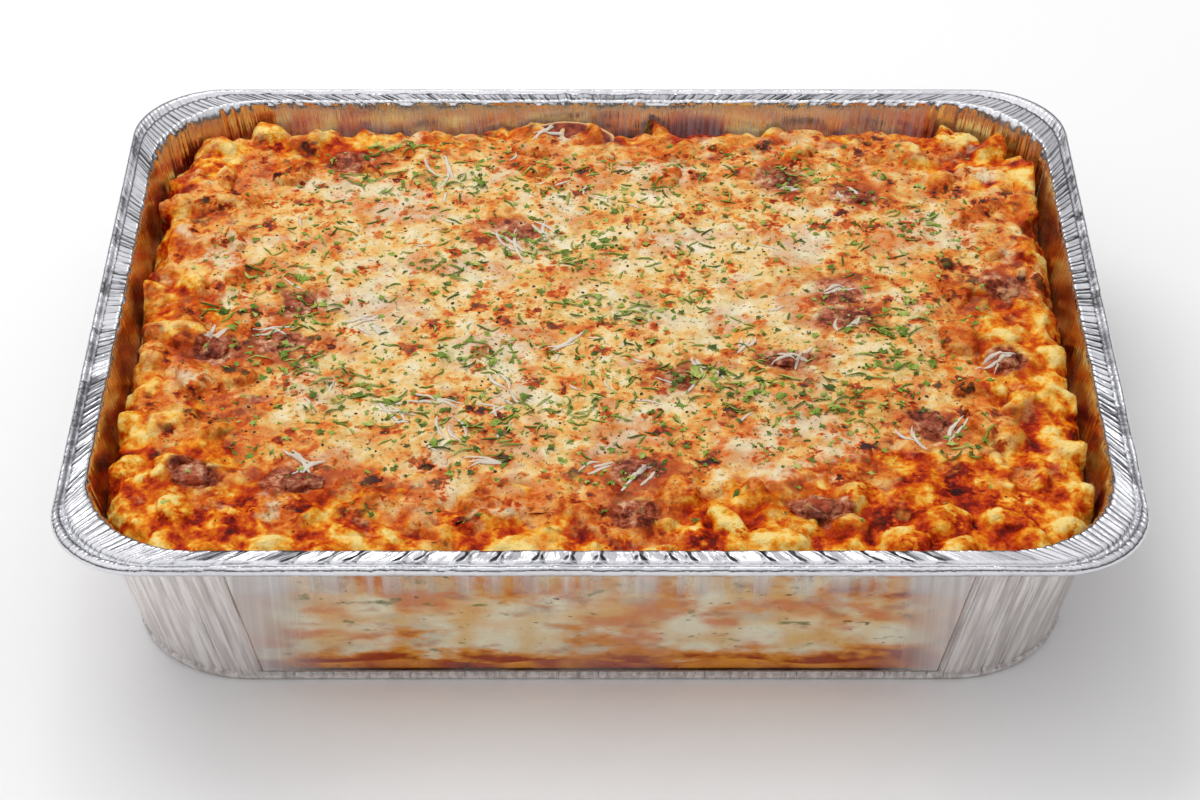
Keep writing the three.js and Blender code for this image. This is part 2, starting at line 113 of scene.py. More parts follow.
def add_light(name, place, target, power, size):
    """An area light at place that faces target."""
    data = bpy.data.lights.new(name, "AREA")
    data.energy = power
    data.size = size
    light = bpy.data.objects.new(name, data)
    light.location = place
    light.rotation_euler = (Vector(target) - Vector(place)).to_track_quat("-Z", "Y").to_euler()
    bpy.context.scene.collection.objects.link(light)
    return light


key = add_light("key", KEY_PLACE, (0, 0, 0.03), KEY_POWER, KEY_SIZE)
key.visible_glossy = False
add_light("glint", GLINT_PLACE, (0, 0, 0.05), GLINT_POWER, GLINT_SIZE)
print("key light", KEY_POWER, "W, glint", GLINT_POWER, "W")

# %% [markdown]
# ## The sky
# Foil has no colour of its own: it shows what stands round it. A plain white sky would make it
# look like paper. This one is dark at the horizon and bright overhead, and brighter on the left
# than on the right, which gives each pleat a light and a dark side.

# %% Sky
SKY_BANDS = (
    (0.00, 0.05), (0.18, 0.06), (0.34, 0.24), (0.50, 0.62),
    (0.60, 0.78), (0.70, 0.83), (0.90, 1.00), (1.00, 1.06),
)
SKY_TILT = -0.3


def make_sky():
    """Greys by height from SKY_BANDS, made stronger towards the left by SKY_TILT."""
    world = bpy.data.worlds.new("studio")
    world.use_nodes = True
    bpy.context.scene.world = world
    tree = world.node_tree
    place = tree.nodes.new("ShaderNodeTexCoord")
    split = tree.nodes.new("ShaderNodeSeparateXYZ")
    ramp = tree.nodes.new("ShaderNodeValToRGB")
    tree.links.new(place.outputs["Generated"], split.inputs[0])
    tree.links.new(split.outputs["Z"], ramp.inputs["Fac"])
    stops = ramp.color_ramp.elements
    for height, grey in SKY_BANDS:
        stop = stops[0] if height == 0 else stops[-1] if height == 1 else stops.new(height)
        stop.color = (grey, grey, grey * 1.01, 1)
    tree.links.new(ramp.outputs["Color"], tree.nodes["Background"].inputs["Color"])
    side = tree.nodes.new("ShaderNodeMath")
    side.operation = "MULTIPLY_ADD"
    side.inputs[1].default_value = SKY_TILT
    side.inputs[2].default_value = 1.0
    tree.links.new(split.outputs["X"], side.inputs[0])
    tree.links.new(side.outputs[0], tree.nodes["Background"].inputs["Strength"])


make_sky()
bpy.context.scene.view_settings.view_transform = "Standard"
bpy.context.scene.view_settings.look = "None"
print("sky bands:", len(SKY_BANDS))

# %% [markdown]
# ## The floor
# The tray has to stand on something for its shadow to show. One plain, pale, dull square that is
# much wider than the view does it.

# %% Floor
FLOOR_HALF = 4
FLOOR_TINT = (0.93, 0.925, 0.925, 1)


def make_floor():
    """A plain pale floor, level with the tray's underside."""
    mesh = bpy.data.meshes.new("floor")
    corners = [(x * FLOOR_HALF, y * FLOOR_HALF, 0) for x, y in ((-1, -1), (1, -1), (1, 1), (-1, 1))]
    mesh.from_pydata(corners, [], [(0, 1, 2, 3)])
    floor = bpy.data.objects.new("floor", mesh)
    bpy.context.scene.collection.objects.link(floor)
    paint = bpy.data.materials.new("floor_paint")
    paint.use_nodes = True
    shader = paint.node_tree.nodes["Principled BSDF"]
    shader.inputs["Base Color"].default_value = FLOOR_TINT
    shader.inputs["Roughness"].default_value = 0.9
    mesh.materials.append(paint)


make_floor()
print("floor", 2 * FLOOR_HALF, "m wide")

# %% [markdown]
# ## Chance
# The food has to look unplanned and still come out the same on every run. Python's own random
# numbers would do, but this small generator is the one that placed the solid's lumps, so with the
# same seeds it gives the same lumps here.

# %% Seeded chance
CHANCE_FACTOR = 16807
CHANCE_RANGE = 2147483647


def make_chance(seed):
    """Park and Miller's generator: call it with a range to get the next number."""
    state = [seed]

    def chance(low=0.0, high=1.0):
        state[0] = (state[0] * CHANCE_FACTOR) % CHANCE_RANGE
        return low + (high - low) * (state[0] / CHANCE_RANGE)

    return chance


print("the first number from seed 1:", round(make_chance(1)(), 6))

# %% [markdown]
# ## Noise
# Crust, cheese and foil are rough at several sizes at once. Noise on a lattice of random numbers,
# blended softly from corner to corner, gives one size of swell, and several layers of it, each half
# as long and half as strong, give the rest. It works on all the points of a mesh in one go.

# %% Smooth noise
LATTICE = 40
lattice_values = np.random.default_rng(7).random((LATTICE, LATTICE, LATTICE))
TWIST = np.array(Euler((0.5, 0.7, 0.3)).to_matrix())


def smooth_noise(points, size, seed=0):
    """Noise between 0 and 1 at points (n, 3), with swells about as long as size."""
    spot = points / size + seed * 7.31
    cell = np.floor(spot).astype(int)
    part = spot - cell
    part = part * part * (3 - 2 * part)
    total = np.zeros(len(points))
    for corner in range(8):
        step = np.array([corner & 1, corner >> 1 & 1, corner >> 2 & 1])
        weight = np.prod(np.where(step == 1, part, 1 - part), axis=1)
        index = (cell + step) % LATTICE
        total += weight * lattice_values[index[:, 0], index[:, 1], index[:, 2]]
    return total


def rough_noise(points, size, octaves=3, seed=0):
    """Several layers of smooth noise, each half as long and half as strong, from 0 to 1."""
    total = np.zeros(len(points))
    weight = 1.0
    whole = 0.0
    for octave in range(octaves):
        total += weight * smooth_noise(points, size, seed + octave * 3)
        whole += weight
        points = points @ TWIST
        size /= 2
        weight /= 2
    return total / whole


def line_noise(travel, size, seed=0):
    """Smooth noise along a line, from -1 to 1."""
    points = np.column_stack([travel, np.full_like(travel, 3.7), np.full_like(travel, 1.9)])
    return 2 * smooth_noise(points, size, seed) - 1


print("lattice of", LATTICE ** 3, "random numbers")

# %% [markdown]
# ## Scattered spots
# Blisters and dents are separate things, which noise can't give. Here the plan is cut into squares
# with one spot in each, at a random place, and every point asks how near the nearest spot is.

# %% Scattered spots
SPOTS = 64
spot_table = np.random.default_rng(19).random((SPOTS, SPOTS, 3))


def nearest_spot(xy, pitch, seed=0):
    """Distance to the nearest of scattered spots, and that spot's own random number."""
    cell = np.floor(xy / pitch).astype(int)
    nearest = np.full(len(xy), np.inf)
    own = np.zeros(len(xy))
    for dx in (-1, 0, 1):
        for dy in (-1, 0, 1):
            there = cell + (dx, dy)
            chances = spot_table[(there[:, 0] + 11 * seed) % SPOTS, (there[:, 1] + 5 * seed) % SPOTS]
            spot = (there + 0.1 + 0.8 * chances[:, :2]) * pitch
            distance = np.hypot(*(xy - spot).T)
            own = np.where(distance < nearest, chances[:, 2], own)
            nearest = np.minimum(nearest, distance)
    return nearest, own


def smoothstep(value, low, high):
    """0 below low, 1 above high, and a soft step between."""
    share = np.clip((value - low) / (high - low), 0, 1)
    return share * share * (3 - 2 * share)


print("squares with a spot of their own:", SPOTS ** 2)

# %% [markdown]
# ## A way to add pieces
# Every piece below is a mesh made in millimetres. One helper scales it to metres, gives it its
# material and ties it to the tray, and the masks that go with it are stored on its points.

# %% Add a piece


def add_piece(name, points, faces, material, replaced=(), masks=None):
    """A smooth mesh piece, made in millimetres. masks holds one number per point for the material."""
    mesh = bpy.data.meshes.new(name)
    mesh.from_pydata((np.asarray(points) * MM).tolist(), [], faces)
    for mask, values in (masks or {}).items():
        layer = mesh.attributes.new(mask, "FLOAT", "POINT")
        layer.data.foreach_set("value", np.asarray(values, dtype=np.float32))
    mesh.materials.append(material)
    mesh.shade_smooth()
    piece = bpy.data.objects.new(name, mesh)
    bpy.context.scene.collection.objects.link(piece)
    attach(piece, "root")
    if replaced:
        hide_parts(*replaced)
    print(f"{name}: {len(mesh.vertices)} points, {len(mesh.polygons)} faces")
    return piece


def grid_faces(rows, columns, closed=True, keep=None):
    """Quads between rows of points, going round to the first column again if closed."""
    faces = []
    last = columns if closed else columns - 1
    for row in range(rows - 1):
        for column in range(last):
            if keep is not None and not keep[row, column]:
                continue
            a = row * columns + column
            b = row * columns + (column + 1) % columns
            faces.append((a, a + columns, b + columns, b))
    return faces


def ring_faces(rows, columns, keep=None):
    """Quads between closed rings, one face over the first ring and one over the last."""
    faces = grid_faces(rows, columns, keep=keep)
    faces.append(tuple(range(columns)))
    faces.append(tuple((rows - 1) * columns + c for c in reversed(range(columns))))
    return faces


print("quads between two rings of four:", len(grid_faces(2, 4)))

# %% [markdown]
# ## Going round the tray
# Rim, wall and food all follow rounded oblongs that share their corners' directions. So one walk
# round the tray serves them all: a place in it lies in a corner, or some share of the way along a
# side, and gives a point on any of the outlines.

# %% Sizes of the tray
_, rim_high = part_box("foil_tray")
RIM_HALF = np.array([rim_high[0], rim_high[1]]) / MM
TRAY_HEIGHT = rim_high[2] / MM
FLANGE = 9
RIM_CORNER = 29
OPEN_CORNER = 36.5
BASE_CORNER = 36
WALL_LEAN = 11.4
WALL = 0.6
WINDOW_SHARE = 0.96
WINDOW_FROM = 4
WINDOW_TO = 56
GAP = 0.3

OPEN_HALF = RIM_HALF - FLANGE
BASE_HALF = OPEN_HALF - WALL_LEAN
LONG_SIDE, SHORT_SIDE = 2 * (OPEN_HALF - OPEN_CORNER)
CORNER_SIGNS = np.array([[1, 1], [-1, 1], [-1, -1], [1, -1]])
print("rim half size", RIM_HALF, "height", TRAY_HEIGHT)

# %% A walk round the tray


class Walk:
    """Places round the tray, anticlockwise from +X, as arrays."""

    def __init__(self, corner_steps, long_marks, short_marks):
        corner, onward, along, angle, share = [], [], [], [], []
        for start in range(4):
            marks = short_marks if start % 2 else long_marks
            steps = np.arange(corner_steps + 1) / corner_steps
            corner += [start] * (len(steps) + len(marks))
            onward += [start] * len(steps) + [(start + 1) % 4] * len(marks)
            along += [0.0] * len(steps) + list(marks)
            angle += list((start + steps) * math.pi / 2)
            angle += [(start + 1) * math.pi / 2] * len(marks)
            share += list(steps) + [-1.0] * len(marks)
        self.corner = np.array(corner)
        self.onward = np.array(onward)
        self.along = np.array(along)
        self.angle = np.array(angle)
        self.share = np.array(share)
        self.in_corner = self.share >= 0
        self.outward = np.column_stack([np.cos(self.angle), np.sin(self.angle)])
        middle = self.outline(OPEN_HALF, OPEN_CORNER)
        legs = np.hypot(*(middle - np.roll(middle, 1, axis=0)).T)
        self.travel = np.cumsum(legs) - legs[0]

    def outline(self, half, radius):
        """Points (n, 2) on a rounded oblong."""
        start = CORNER_SIGNS[self.corner] * (half - radius)
        end = CORNER_SIGNS[self.onward] * (half - radius)
        along = self.along[:, None]
        return start * (1 - along) + end * along + self.outward * radius

    def wall(self, z, out=0.0):
        """Points (n, 3) on the wall's inner face at height z, moved outwards by out."""
        z = np.broadcast_to(np.asarray(z, dtype=float), self.angle.shape)
        rise = (z / TRAY_HEIGHT)[:, None]
        flat = self.outline(BASE_HALF, BASE_CORNER) * (1 - rise)
        flat = flat + self.outline(OPEN_HALF, OPEN_CORNER) * rise
        flat = flat + self.outward * np.broadcast_to(out, self.angle.shape)[:, None]
        return np.column_stack([flat, z])

    def rim(self, share, z):
        """Points (n, 3) on the rim, at a share (or one for each point) of the way to its outer edge."""
        flat = self.outline(OPEN_HALF, OPEN_CORNER) * (1 - share)
        flat = flat + self.outline(RIM_HALF, RIM_CORNER) * share
        return np.column_stack([flat, np.broadcast_to(z, self.angle.shape)])


print("a short walk has", len(Walk(4, [], []).travel), "places")

# %% [markdown]
# ## The pleats of the foil
# A foil tray is stamped from a flat sheet, and the spare foil gathers into dense pleats at the
# corners, while the sides only carry small dents. A bump in the material would leave the rim's
# outline smooth, so the pleats are real: there are enough places round the tray for each pleat to
# have its own ridge and valley.

# %% Pleats, dents and streaks of the foil
PLEAT_PITCH = 2.3
PLEAT_WIDTH = 0.36
CORNER_STEPS = 170
SIDE_STEP = 1.6
window_mark = 0.5 - 0.5 * (WINDOW_SHARE + 0.0027)


def side_marks(length):
    """Shares along a side, with one at each edge of the clear panel."""
    count = round(length / SIDE_STEP)
    inner = np.linspace(window_mark, 1 - window_mark, count)
    return [window_mark / 2, *inner, 1 - window_mark / 2]


foil_walk = Walk(CORNER_STEPS, side_marks(LONG_SIDE), side_marks(SHORT_SIDE))
on_front = (foil_walk.corner == 2) & ~foil_walk.in_corner
on_back = (foil_walk.corner == 0) & ~foil_walk.in_corner
on_left = (foil_walk.corner == 1) & ~foil_walk.in_corner
on_right = (foil_walk.corner == 3) & ~foil_walk.in_corner


def gathered(walk):
    """How strongly the foil is gathered: 1 in the corners, fading out along the sides."""
    from_corner = np.minimum(walk.along, 1 - walk.along) * np.where(walk.corner % 2, SHORT_SIDE, LONG_SIDE)
    swell = np.clip(4 * np.sin(math.pi * np.clip(walk.share, 0, 1)) + 0.35, 0, 1)
    return np.where(walk.in_corner, swell, 0.35 * np.exp(-from_corner / 7))


def pleats(travel, pitch, seed):
    """Sharp uneven folds along the travel, between -1 and 1."""
    phase = travel / pitch + 0.9 * line_noise(travel, 4.5, seed)
    fold = 1 - 2 * np.abs(2 * (phase % 1) - 1)
    return fold * (0.7 + 0.3 * line_noise(travel, 3.1, seed + 1))


def pleat_lines(travel, seed):
    """Narrow valleys between flat pleats: 0 on a pleat, down to -1 in a valley."""
    number = travel / PLEAT_PITCH + 0.8 * line_noise(travel, 5, seed)
    own = spot_table[np.floor(number).astype(int) % SPOTS, seed % SPOTS, 0]
    nearest = np.abs(number % 1 - 0.5) * PLEAT_PITCH
    return -np.exp(-(nearest / PLEAT_WIDTH) ** 2) * (0.3 + 0.7 * own)


def dents(travel, pitch, width, seed):
    """Narrow ridges across the rim at uneven places, from 0 to 1."""
    nearest, own = nearest_spot(np.column_stack([travel, np.full_like(travel, 0.5 * pitch)]), pitch, seed)
    return np.exp(-(nearest / width) ** 2) * (0.3 + 0.7 * own)


gather = gathered(foil_walk)
folds = pleats(foil_walk.travel, 1.75, 1)
skew = 2.6 * line_noise(foil_walk.travel, 15, 33)
coarse_folds = pleats(foil_walk.travel, 7.5, 4)
cross_dents = (
    on_right * dents(foil_walk.travel, 8.5, 1.2, 2) * 0.35
    + on_left * dents(foil_walk.travel, 9.5, 1.4, 3) * 0.25
    + on_back * dents(foil_walk.travel, 8, 1.2, 4) * 0.7
    + on_front * dents(foil_walk.travel, 8.5, 1.1, 6) * 0.9
)
buckle = 0.2 * line_noise(foil_walk.travel, 6, 9) + 0.1 * line_noise(foil_walk.travel, 2.2, 12)
print("places round the foil:", len(foil_walk.travel))

# %% [markdown]
# ## The tray as a stack of rings
# The solid is a stack of rings: up the inner wall, over the flat rim with its groove and rolled
# bead, and down the outside to a small foot. The same stack is used here with many more places in
# each ring, so that the finished foil lies on its solid. Each ring takes its share of the pleats.

# %% Rings of the foil
WALL_LEVELS = [2.4, WINDOW_FROM - GAP, 10, 17, 24, 31, 38, 45, 51, WINDOW_TO + GAP, 58.6]
WALL_PLEAT = 0.45
FLANGE_PLEAT = 0.5
FLANGE_ROWS = 8
GROOVE_AT = 0.68
GROOVE_WIDTH = 0.04
RIM_SECTION = [
    (0.01, 0.6, 0.4), (0.04, 0.15, 0.6), (0.09, -0.05, 0.8), (0.16, 0, 0.9), (0.28, 0.05, 1),
    (0.4, 0.07, 1), (0.52, 0.1, 1), (0.6, 0.15, 0.9), (0.64, 0.8, 0.6), (0.67, 1.1, 0.5),
    (0.7, 1.0, 0.45), (0.76, 0.55, 0.4), (0.82, 0.15, 0.35), (0.87, 0, 0.3), (0.92, 0.1, 0.25),
    (0.96, 0.45, 0.2), (0.985, 0.95, 0.15), (1.0, 1.6, 0.1), (0.995, 2.2, 0.1), (0.97, 2.8, 0.1),
    (0.93, 3.1, 0.1), (0.89, 2.8, 0.1), (0.85, 2.0, 0.3), (0.72, 1.5, 0.5), (0.56, 0.8, 0.8),
    (0.16, 0.8, 0.8),
]
FOOT_SECTION = [(3.2, 0), (2.7, 0.8), (2.2, 0.9), (0.8, 0.6), (0.15, 0.1), (0, -0.5)]


def foil_wall(z, out):
    """One ring of the wall, streaked by the press and folded at the corners."""
    rise = z / TRAY_HEIGHT
    slant = foil_walk.travel + 0.12 * z
    streaks = 0.10 * line_noise(slant, 1.5, 21) + 0.2 * line_noise(slant, 5, 22)
    streaks = np.where(on_front, 0, streaks) * min(1, z / 8)
    fold = 2 * WALL_PLEAT * (0.25 + 0.75 * rise) * gather * (0.3 * folds + coarse_folds)
    fold = np.minimum(fold, WALL_PLEAT) if out <= 0 else fold
    return foil_walk.wall(z, out + streaks + fold)


def groove_crease(share):
    """How much deeper the groove is pinched where the foil is gathered."""
    nearness = math.exp(-((share - GROOVE_AT) / GROOVE_WIDTH) ** 2)
    return nearness * gather * (0.5 + 0.6 * line_noise(foil_walk.travel, 1.3, 41))


def foil_rim(share, z, pleated):
    """One ring of the rim. pleated says how much of the folds and dents it takes."""
    travel = foil_walk.travel + skew * share
    corner = FLANGE_PLEAT * pleat_lines(travel, 1) + 0.13 * line_noise(travel, 2.3, 5)
    lift = gather * (corner + 0.3 * coarse_folds * share) + (cross_dents + buckle) * (1 - gather)
    jagged = 0.55 * line_noise(foil_walk.travel, 1.7, 17) * max(0, 1 - share / 0.2)
    ring = foil_walk.rim((share + jagged / FLANGE)[:, None], z)
    ring[:, 2] += pleated * lift - groove_crease(share)
    return ring


inner_rings = [foil_walk.wall(WALL, -3)] + [foil_wall(z, -0.3 if z < 3 else 0) for z in WALL_LEVELS]
rim_rings = [foil_rim(share, TRAY_HEIGHT - drop, pleated) for share, drop, pleated in RIM_SECTION]
outer_rings = [foil_wall(z, WALL) for z in reversed(WALL_LEVELS[1:])]
outer_rings += [foil_walk.wall(z, WALL + out) for z, out in FOOT_SECTION]
foil_rings = np.array(inner_rings + rim_rings + outer_rings)
print("rings of foil:", len(foil_rings))

# %% [markdown]
# ## Short ways to write nodes
# A material is a tree of nodes, and each node takes several lines to add, set and join. One class
# wraps the few kinds that are used here, so that a material below reads like a recipe: noise, soft
# steps, sums, ramps, mixes and bumps.

# %% Helpers for nodes


class Wiring:
    """Adds and joins the nodes of one material or node group."""

    def __init__(self, tree):
        self.tree = tree

    def node(self, kind, inputs=None, **settings):
        """A node with its settings, its inputs joined or set."""
        node = self.tree.nodes.new(kind)
        for key, value in settings.items():
            setattr(node, key, value)
        for key, value in (inputs or {}).items():
            self.feed(node.inputs[key], value)
        return node

    def feed(self, socket, value):
        """Joins a socket to another one, or sets its value."""
        if isinstance(value, bpy.types.NodeSocket):
            self.tree.links.new(value, socket)
        else:
            socket.default_value = value

    def place(self):
        """The point on the piece in metres."""
        return self.node("ShaderNodeTexCoord").outputs["Object"]

    def split_place(self):
        """That point's X, Y and Z."""
        return self.node("ShaderNodeSeparateXYZ", {0: self.place()}).outputs

    def plane(self, x, y=0.0):
        """A place on a plane, from two numbers."""
        return self.node("ShaderNodeCombineXYZ", {"X": x, "Y": y}).outputs[0]

    def vector(self, operation, a, b):
        """Two vectors put together."""
        return self.node("ShaderNodeVectorMath", {0: a, 1: b}, operation=operation).outputs[0]

    def stretched(self, x, y, z):
        """The point on the piece, its sizes multiplied."""
        return self.vector("MULTIPLY", self.place(), (x, y, z))

    def noise(self, scale, detail=2.0, roughness=0.5, vector=None, distortion=0.0):
        """Noise from 0 to 1; scale counts its swells to the metre."""
        inputs = {"Scale": scale, "Detail": detail, "Roughness": roughness, "Distortion": distortion}
        inputs["Vector"] = vector or self.place()
        return self.node("ShaderNodeTexNoise", inputs).outputs["Fac"]

    def step(self, value, low, high, to_low=0.0, to_high=1.0):
        """A soft step between two thresholds."""
        inputs = {"Value": value, "From Min": low, "From Max": high, "To Min": to_low, "To Max": to_high}
        return self.node("ShaderNodeMapRange", inputs, interpolation_type="SMOOTHSTEP").outputs["Result"]

    def math(self, operation, a, b=0.0):
        """Two numbers put together."""
        return self.node("ShaderNodeMath", {0: a, 1: b}, operation=operation).outputs[0]

    def times(self, a, b):
        """Two numbers multiplied."""
        return self.math("MULTIPLY", a, b)

    def total(self, start, *terms):
        """A start value and any number of (value, weight) added to it."""
        for value, weight in terms:
            node = self.node("ShaderNodeMath", {0: value, 1: weight, 2: start}, operation="MULTIPLY_ADD")
            start = node.outputs[0]
        return start

    def ramp(self, value, stops):
        """A colour that runs through stops, each a place from 0 to 1 and a colour."""
        node = self.node("ShaderNodeValToRGB", {"Fac": value})
        elements = node.color_ramp.elements
        while len(elements) < len(stops):
            elements.new(0.5)
        for element, (place, tint) in zip(elements, stops):
            element.position = place
            element.color = tint
        return node.outputs["Color"]

    def mix(self, factor, a, b):
        """Two colours mixed."""
        node = self.node("ShaderNodeMix", data_type="RGBA")
        self.feed(node.inputs[0], factor)
        self.feed(node.inputs[6], a)
        self.feed(node.inputs[7], b)
        return node.outputs[2]

    def mask(self, name):
        """A mask that is stored on the mesh's points."""
        return self.node("ShaderNodeAttribute", attribute_name=name).outputs["Fac"]

    def bump(self, height, strength, distance, normal=None):
        """A bump from a height, in metres."""
        inputs = {"Height": height, "Strength": strength, "Distance": distance}
        if normal is not None:
            inputs["Normal"] = normal
        return self.node("ShaderNodeBump", inputs).outputs["Normal"]


print("ways to write nodes:", len([name for name in vars(Wiring) if not name.startswith("_")]))

# %% [markdown]
# ## Materials and groups
# Every finish below starts from the same few lines: a Principled shader, a colour, a gloss that
# varies a little from place to place, and bumps laid over one another, the coarsest first. Colours
# are written as a screen shows them and turned into light here, because the shader works with light.

# %% Materials and groups


def new_material(name):
    """A material, its wiring and its Principled shader."""
    material = bpy.data.materials.new(name)
    material.use_nodes = True
    return material, Wiring(material.node_tree), material.node_tree.nodes["Principled BSDF"]


def finish_surface(w, shader, tint, gloss, bumps=(), specular=0.5):
    """Joins a colour, an uneven gloss and bumps to a shader. gloss is a noise's (scale, detail) and the
    roughness it runs between, and bumps are (height, strength, distance), each over the last."""
    scale, detail, low, high = gloss
    w.feed(shader.inputs["Base Color"], tint)
    w.feed(shader.inputs["Roughness"], w.step(w.noise(scale, detail), 0.3, 0.7, low, high))
    shader.inputs["Specular IOR Level"].default_value = specular
    normal = None
    for height, strength, distance in bumps:
        normal = w.bump(height, strength, distance, normal)
    if normal is not None:
        w.feed(shader.inputs["Normal"], normal)


def colour(red, green, blue):
    """A colour given as a screen shows it, 0 to 255, as linear light."""
    def linear(level):
        share = level / 255
        return share / 12.92 if share <= 0.04045 else ((share + 0.055) / 1.055) ** 2.4
    return (linear(red), linear(green), linear(blue), 1.0)


def new_group(name, inputs, outputs):
    """A node group with float inputs {name: default} and outputs {name: kind}."""
    tree = bpy.data.node_groups.new(name, "ShaderNodeTree")
    for key, default in inputs.items():
        socket = tree.interface.new_socket(key, in_out="INPUT", socket_type="NodeSocketFloat")
        socket.default_value = default
    for key, kind in outputs.items():
        tree.interface.new_socket(key, in_out="OUTPUT", socket_type=kind)
    entry = tree.nodes.new("NodeGroupInput")
    leave = tree.nodes.new("NodeGroupOutput")
    return tree, Wiring(tree), entry.outputs, leave.inputs


def use_group(wiring, tree, **values):
    """Places a group in a material, with its own values."""
    node = wiring.node("ShaderNodeGroup", node_tree=tree)
    for key, value in values.items():
        wiring.feed(node.inputs[key], value)
    return node.outputs


print("middle grey as light:", round(colour(128, 128, 128)[0], 3))

# %% [markdown]
# ## Facets of handled foil
# Foil that has been handled is covered with small flat facets, each tilted its own way. Noise would
# give soft hills instead. Voronoi cells give each facet a middle and a random tilt, and the height
# is how far a point lies along that tilt. Both layers of crinkle in the foil use this one group.

# %% Facets of handled foil


def facets_group():
    """Flat facets, each tilted its own way. Along is how far round the tray a point is, Across how far
    over the rim. Height is in metres."""
    tree, w, given, result = new_group(
        "foil_facets",
        {"Along": 0.0, "Across": 0.0, "Scale": 70.0},
        {"Height": "NodeSocketFloat"},
    )
    place = w.plane(given["Along"], given["Across"])
    cells = w.node("ShaderNodeTexVoronoi", {"Vector": place, "Scale": given["Scale"]}).outputs
    within = w.vector("SUBTRACT", place, cells["Position"])
    tilt = w.vector("SUBTRACT", cells["Color"], (0.5, 0.5, 0.5))
    height = w.node("ShaderNodeVectorMath", {0: within, 1: tilt}, operation="DOT_PRODUCT").outputs["Value"]
    w.feed(result["Height"], height)
    return tree


foil_facets = facets_group()
print("facets:", foil_facets.name)

# %% [markdown]
# ## Foil as a material
# Aluminium foil is a mirror that has been crumpled at every scale. The mesh carries the pleats, and
# bumps carry the facets, the short ridges across the flange, the creases outside and the streaks
# that the press left on the walls. The inner walls beside the food are tinted orange, and steam has
# left a dull film on the back wall, where the metal shows a little less.

# %% Relief and colour of foil
KNURLS_PER_METRE = 110.0
CRIMPS_PER_METRE = 340.0
CREASES_PER_METRE = 120.0


def nearest_mark(w, travel, count, unevenness=1.0):
    """Distance to the nearest of a row of marks, as a share of their pitch. count is to the metre."""
    inputs = {"W": travel, "Scale": count, "Randomness": unevenness}
    return w.node("ShaderNodeTexVoronoi", inputs, voronoi_dimensions="1D").outputs["Distance"]


def ridges(w, travel, count, width, height):
    """Ridges across the flange, narrow in their middle, as a height in metres. width is a share of
    the way from one to the next."""
    from_middle = w.math("ABSOLUTE", w.total(-0.5, (w.mask("across"), 1.0)))
    reach = w.total(width, (from_middle, 0.34), (w.noise(60, 2.0), 0.1))
    return w.step(nearest_mark(w, travel, count, 0.6), 0.0, reach, height, 0.0)


def foil_colour(w, streaks):
    """Bright on the food's side, tinted orange on its inner walls, and duller outside."""
    bright = w.mix(w.noise(40), colour(214, 214, 219), colour(236, 236, 240))
    greasy = w.times(w.mask("greasy"), w.step(streaks, 0.4, 0.6, 0.5, 1.0))
    bright = w.mix(greasy, bright, colour(236, 200, 156))
    dull = w.mix(w.step(streaks, 0.38, 0.62), colour(214, 206, 203), colour(248, 243, 241))
    return w.mix(w.mask("outside"), bright, dull)


def foil_relief(w, travel, level):
    """Facets, ridges and creases as one height in metres."""
    slanted, squeezed = w.total(travel, (level, 0.5)), w.times(level, 0.3)
    large = use_group(w, foil_facets, Along=slanted, Across=squeezed, Scale=130.0)["Height"]
    small = use_group(w, foil_facets, Along=travel, Across=level, Scale=420.0)["Height"]
    flat_share = w.total(1.0, (w.mask("gathers"), -0.85))
    crumple = w.times(w.total(0.0, (large, 0.26), (small, 0.16)), flat_share)
    knurls = w.times(ridges(w, travel, KNURLS_PER_METRE, 0.07, 0.0009), w.mask("knurled"))
    crimps = w.times(ridges(w, travel, CRIMPS_PER_METRE, 0.2, 0.00026), w.mask("crimped"))
    folded = nearest_mark(w, travel, CREASES_PER_METRE)
    creases = w.times(w.step(folded, 0.0, 0.07, 0.0004, 0.0), w.mask("outside"))
    return w.total(crumple, (knurls, 1.0), (crimps, 1.0), (creases, 1.0))


print("a knurl every", round(1000 / KNURLS_PER_METRE, 1), "mm")
print("a crimp every", round(1000 / CRIMPS_PER_METRE, 1), "mm")

# %% Foil material


def foil_material():
    """Bright crinkled aluminium, brushed on its walls and duller on its outside."""
    material, w, shader = new_material("foil")
    travel, level, walls = w.mask("travel"), w.mask("level"), w.mask("walls")
    along = w.plane(travel, level)
    streaks = w.noise(520, 3, 0.6, along)
    w.feed(shader.inputs["Base Color"], foil_colour(w, streaks))
    film = w.times(w.mask("steamed"), w.step(streaks, 0.36, 0.62, 0.08, 0.34))
    w.feed(shader.inputs["Metallic"], w.total(1.0, (film, -1.0)))
    gloss = w.step(w.noise(90, 3), 0.35, 0.7, 0.1, 0.24)
    w.feed(shader.inputs["Roughness"], w.total(gloss, (walls, 0.06), (w.mask("outside"), 0.14)))
    crumple = w.bump(foil_relief(w, travel, level), 1.0, 1.0)
    brushed = w.times(w.noise(330, 3, 0.55, along), w.total(0.5, (walls, -0.5)))
    press = w.bump(w.total(brushed, (w.times(streaks, walls), 0.9)), 0.6, 0.0012, crumple)
    w.feed(shader.inputs["Normal"], w.bump(w.noise(600, 2), 0.08, 0.0003, press))
    return material


foil = foil_material()
print("foil nodes:", len(foil.node_tree.nodes))

# %% [markdown]
# ## Build the foil tray
# The rings are joined with quads into one closed shell, and the squares where the clear panel sits
# are left out of both the inner and the outer wall, with the hole's four edges closed between them.
# The material has to know where on the tray it is, so that is stored on the points as masks.

# %% Build the foil tray
LEVEL_STEP = 0.0004
KNURLED_TO = (82, 100)

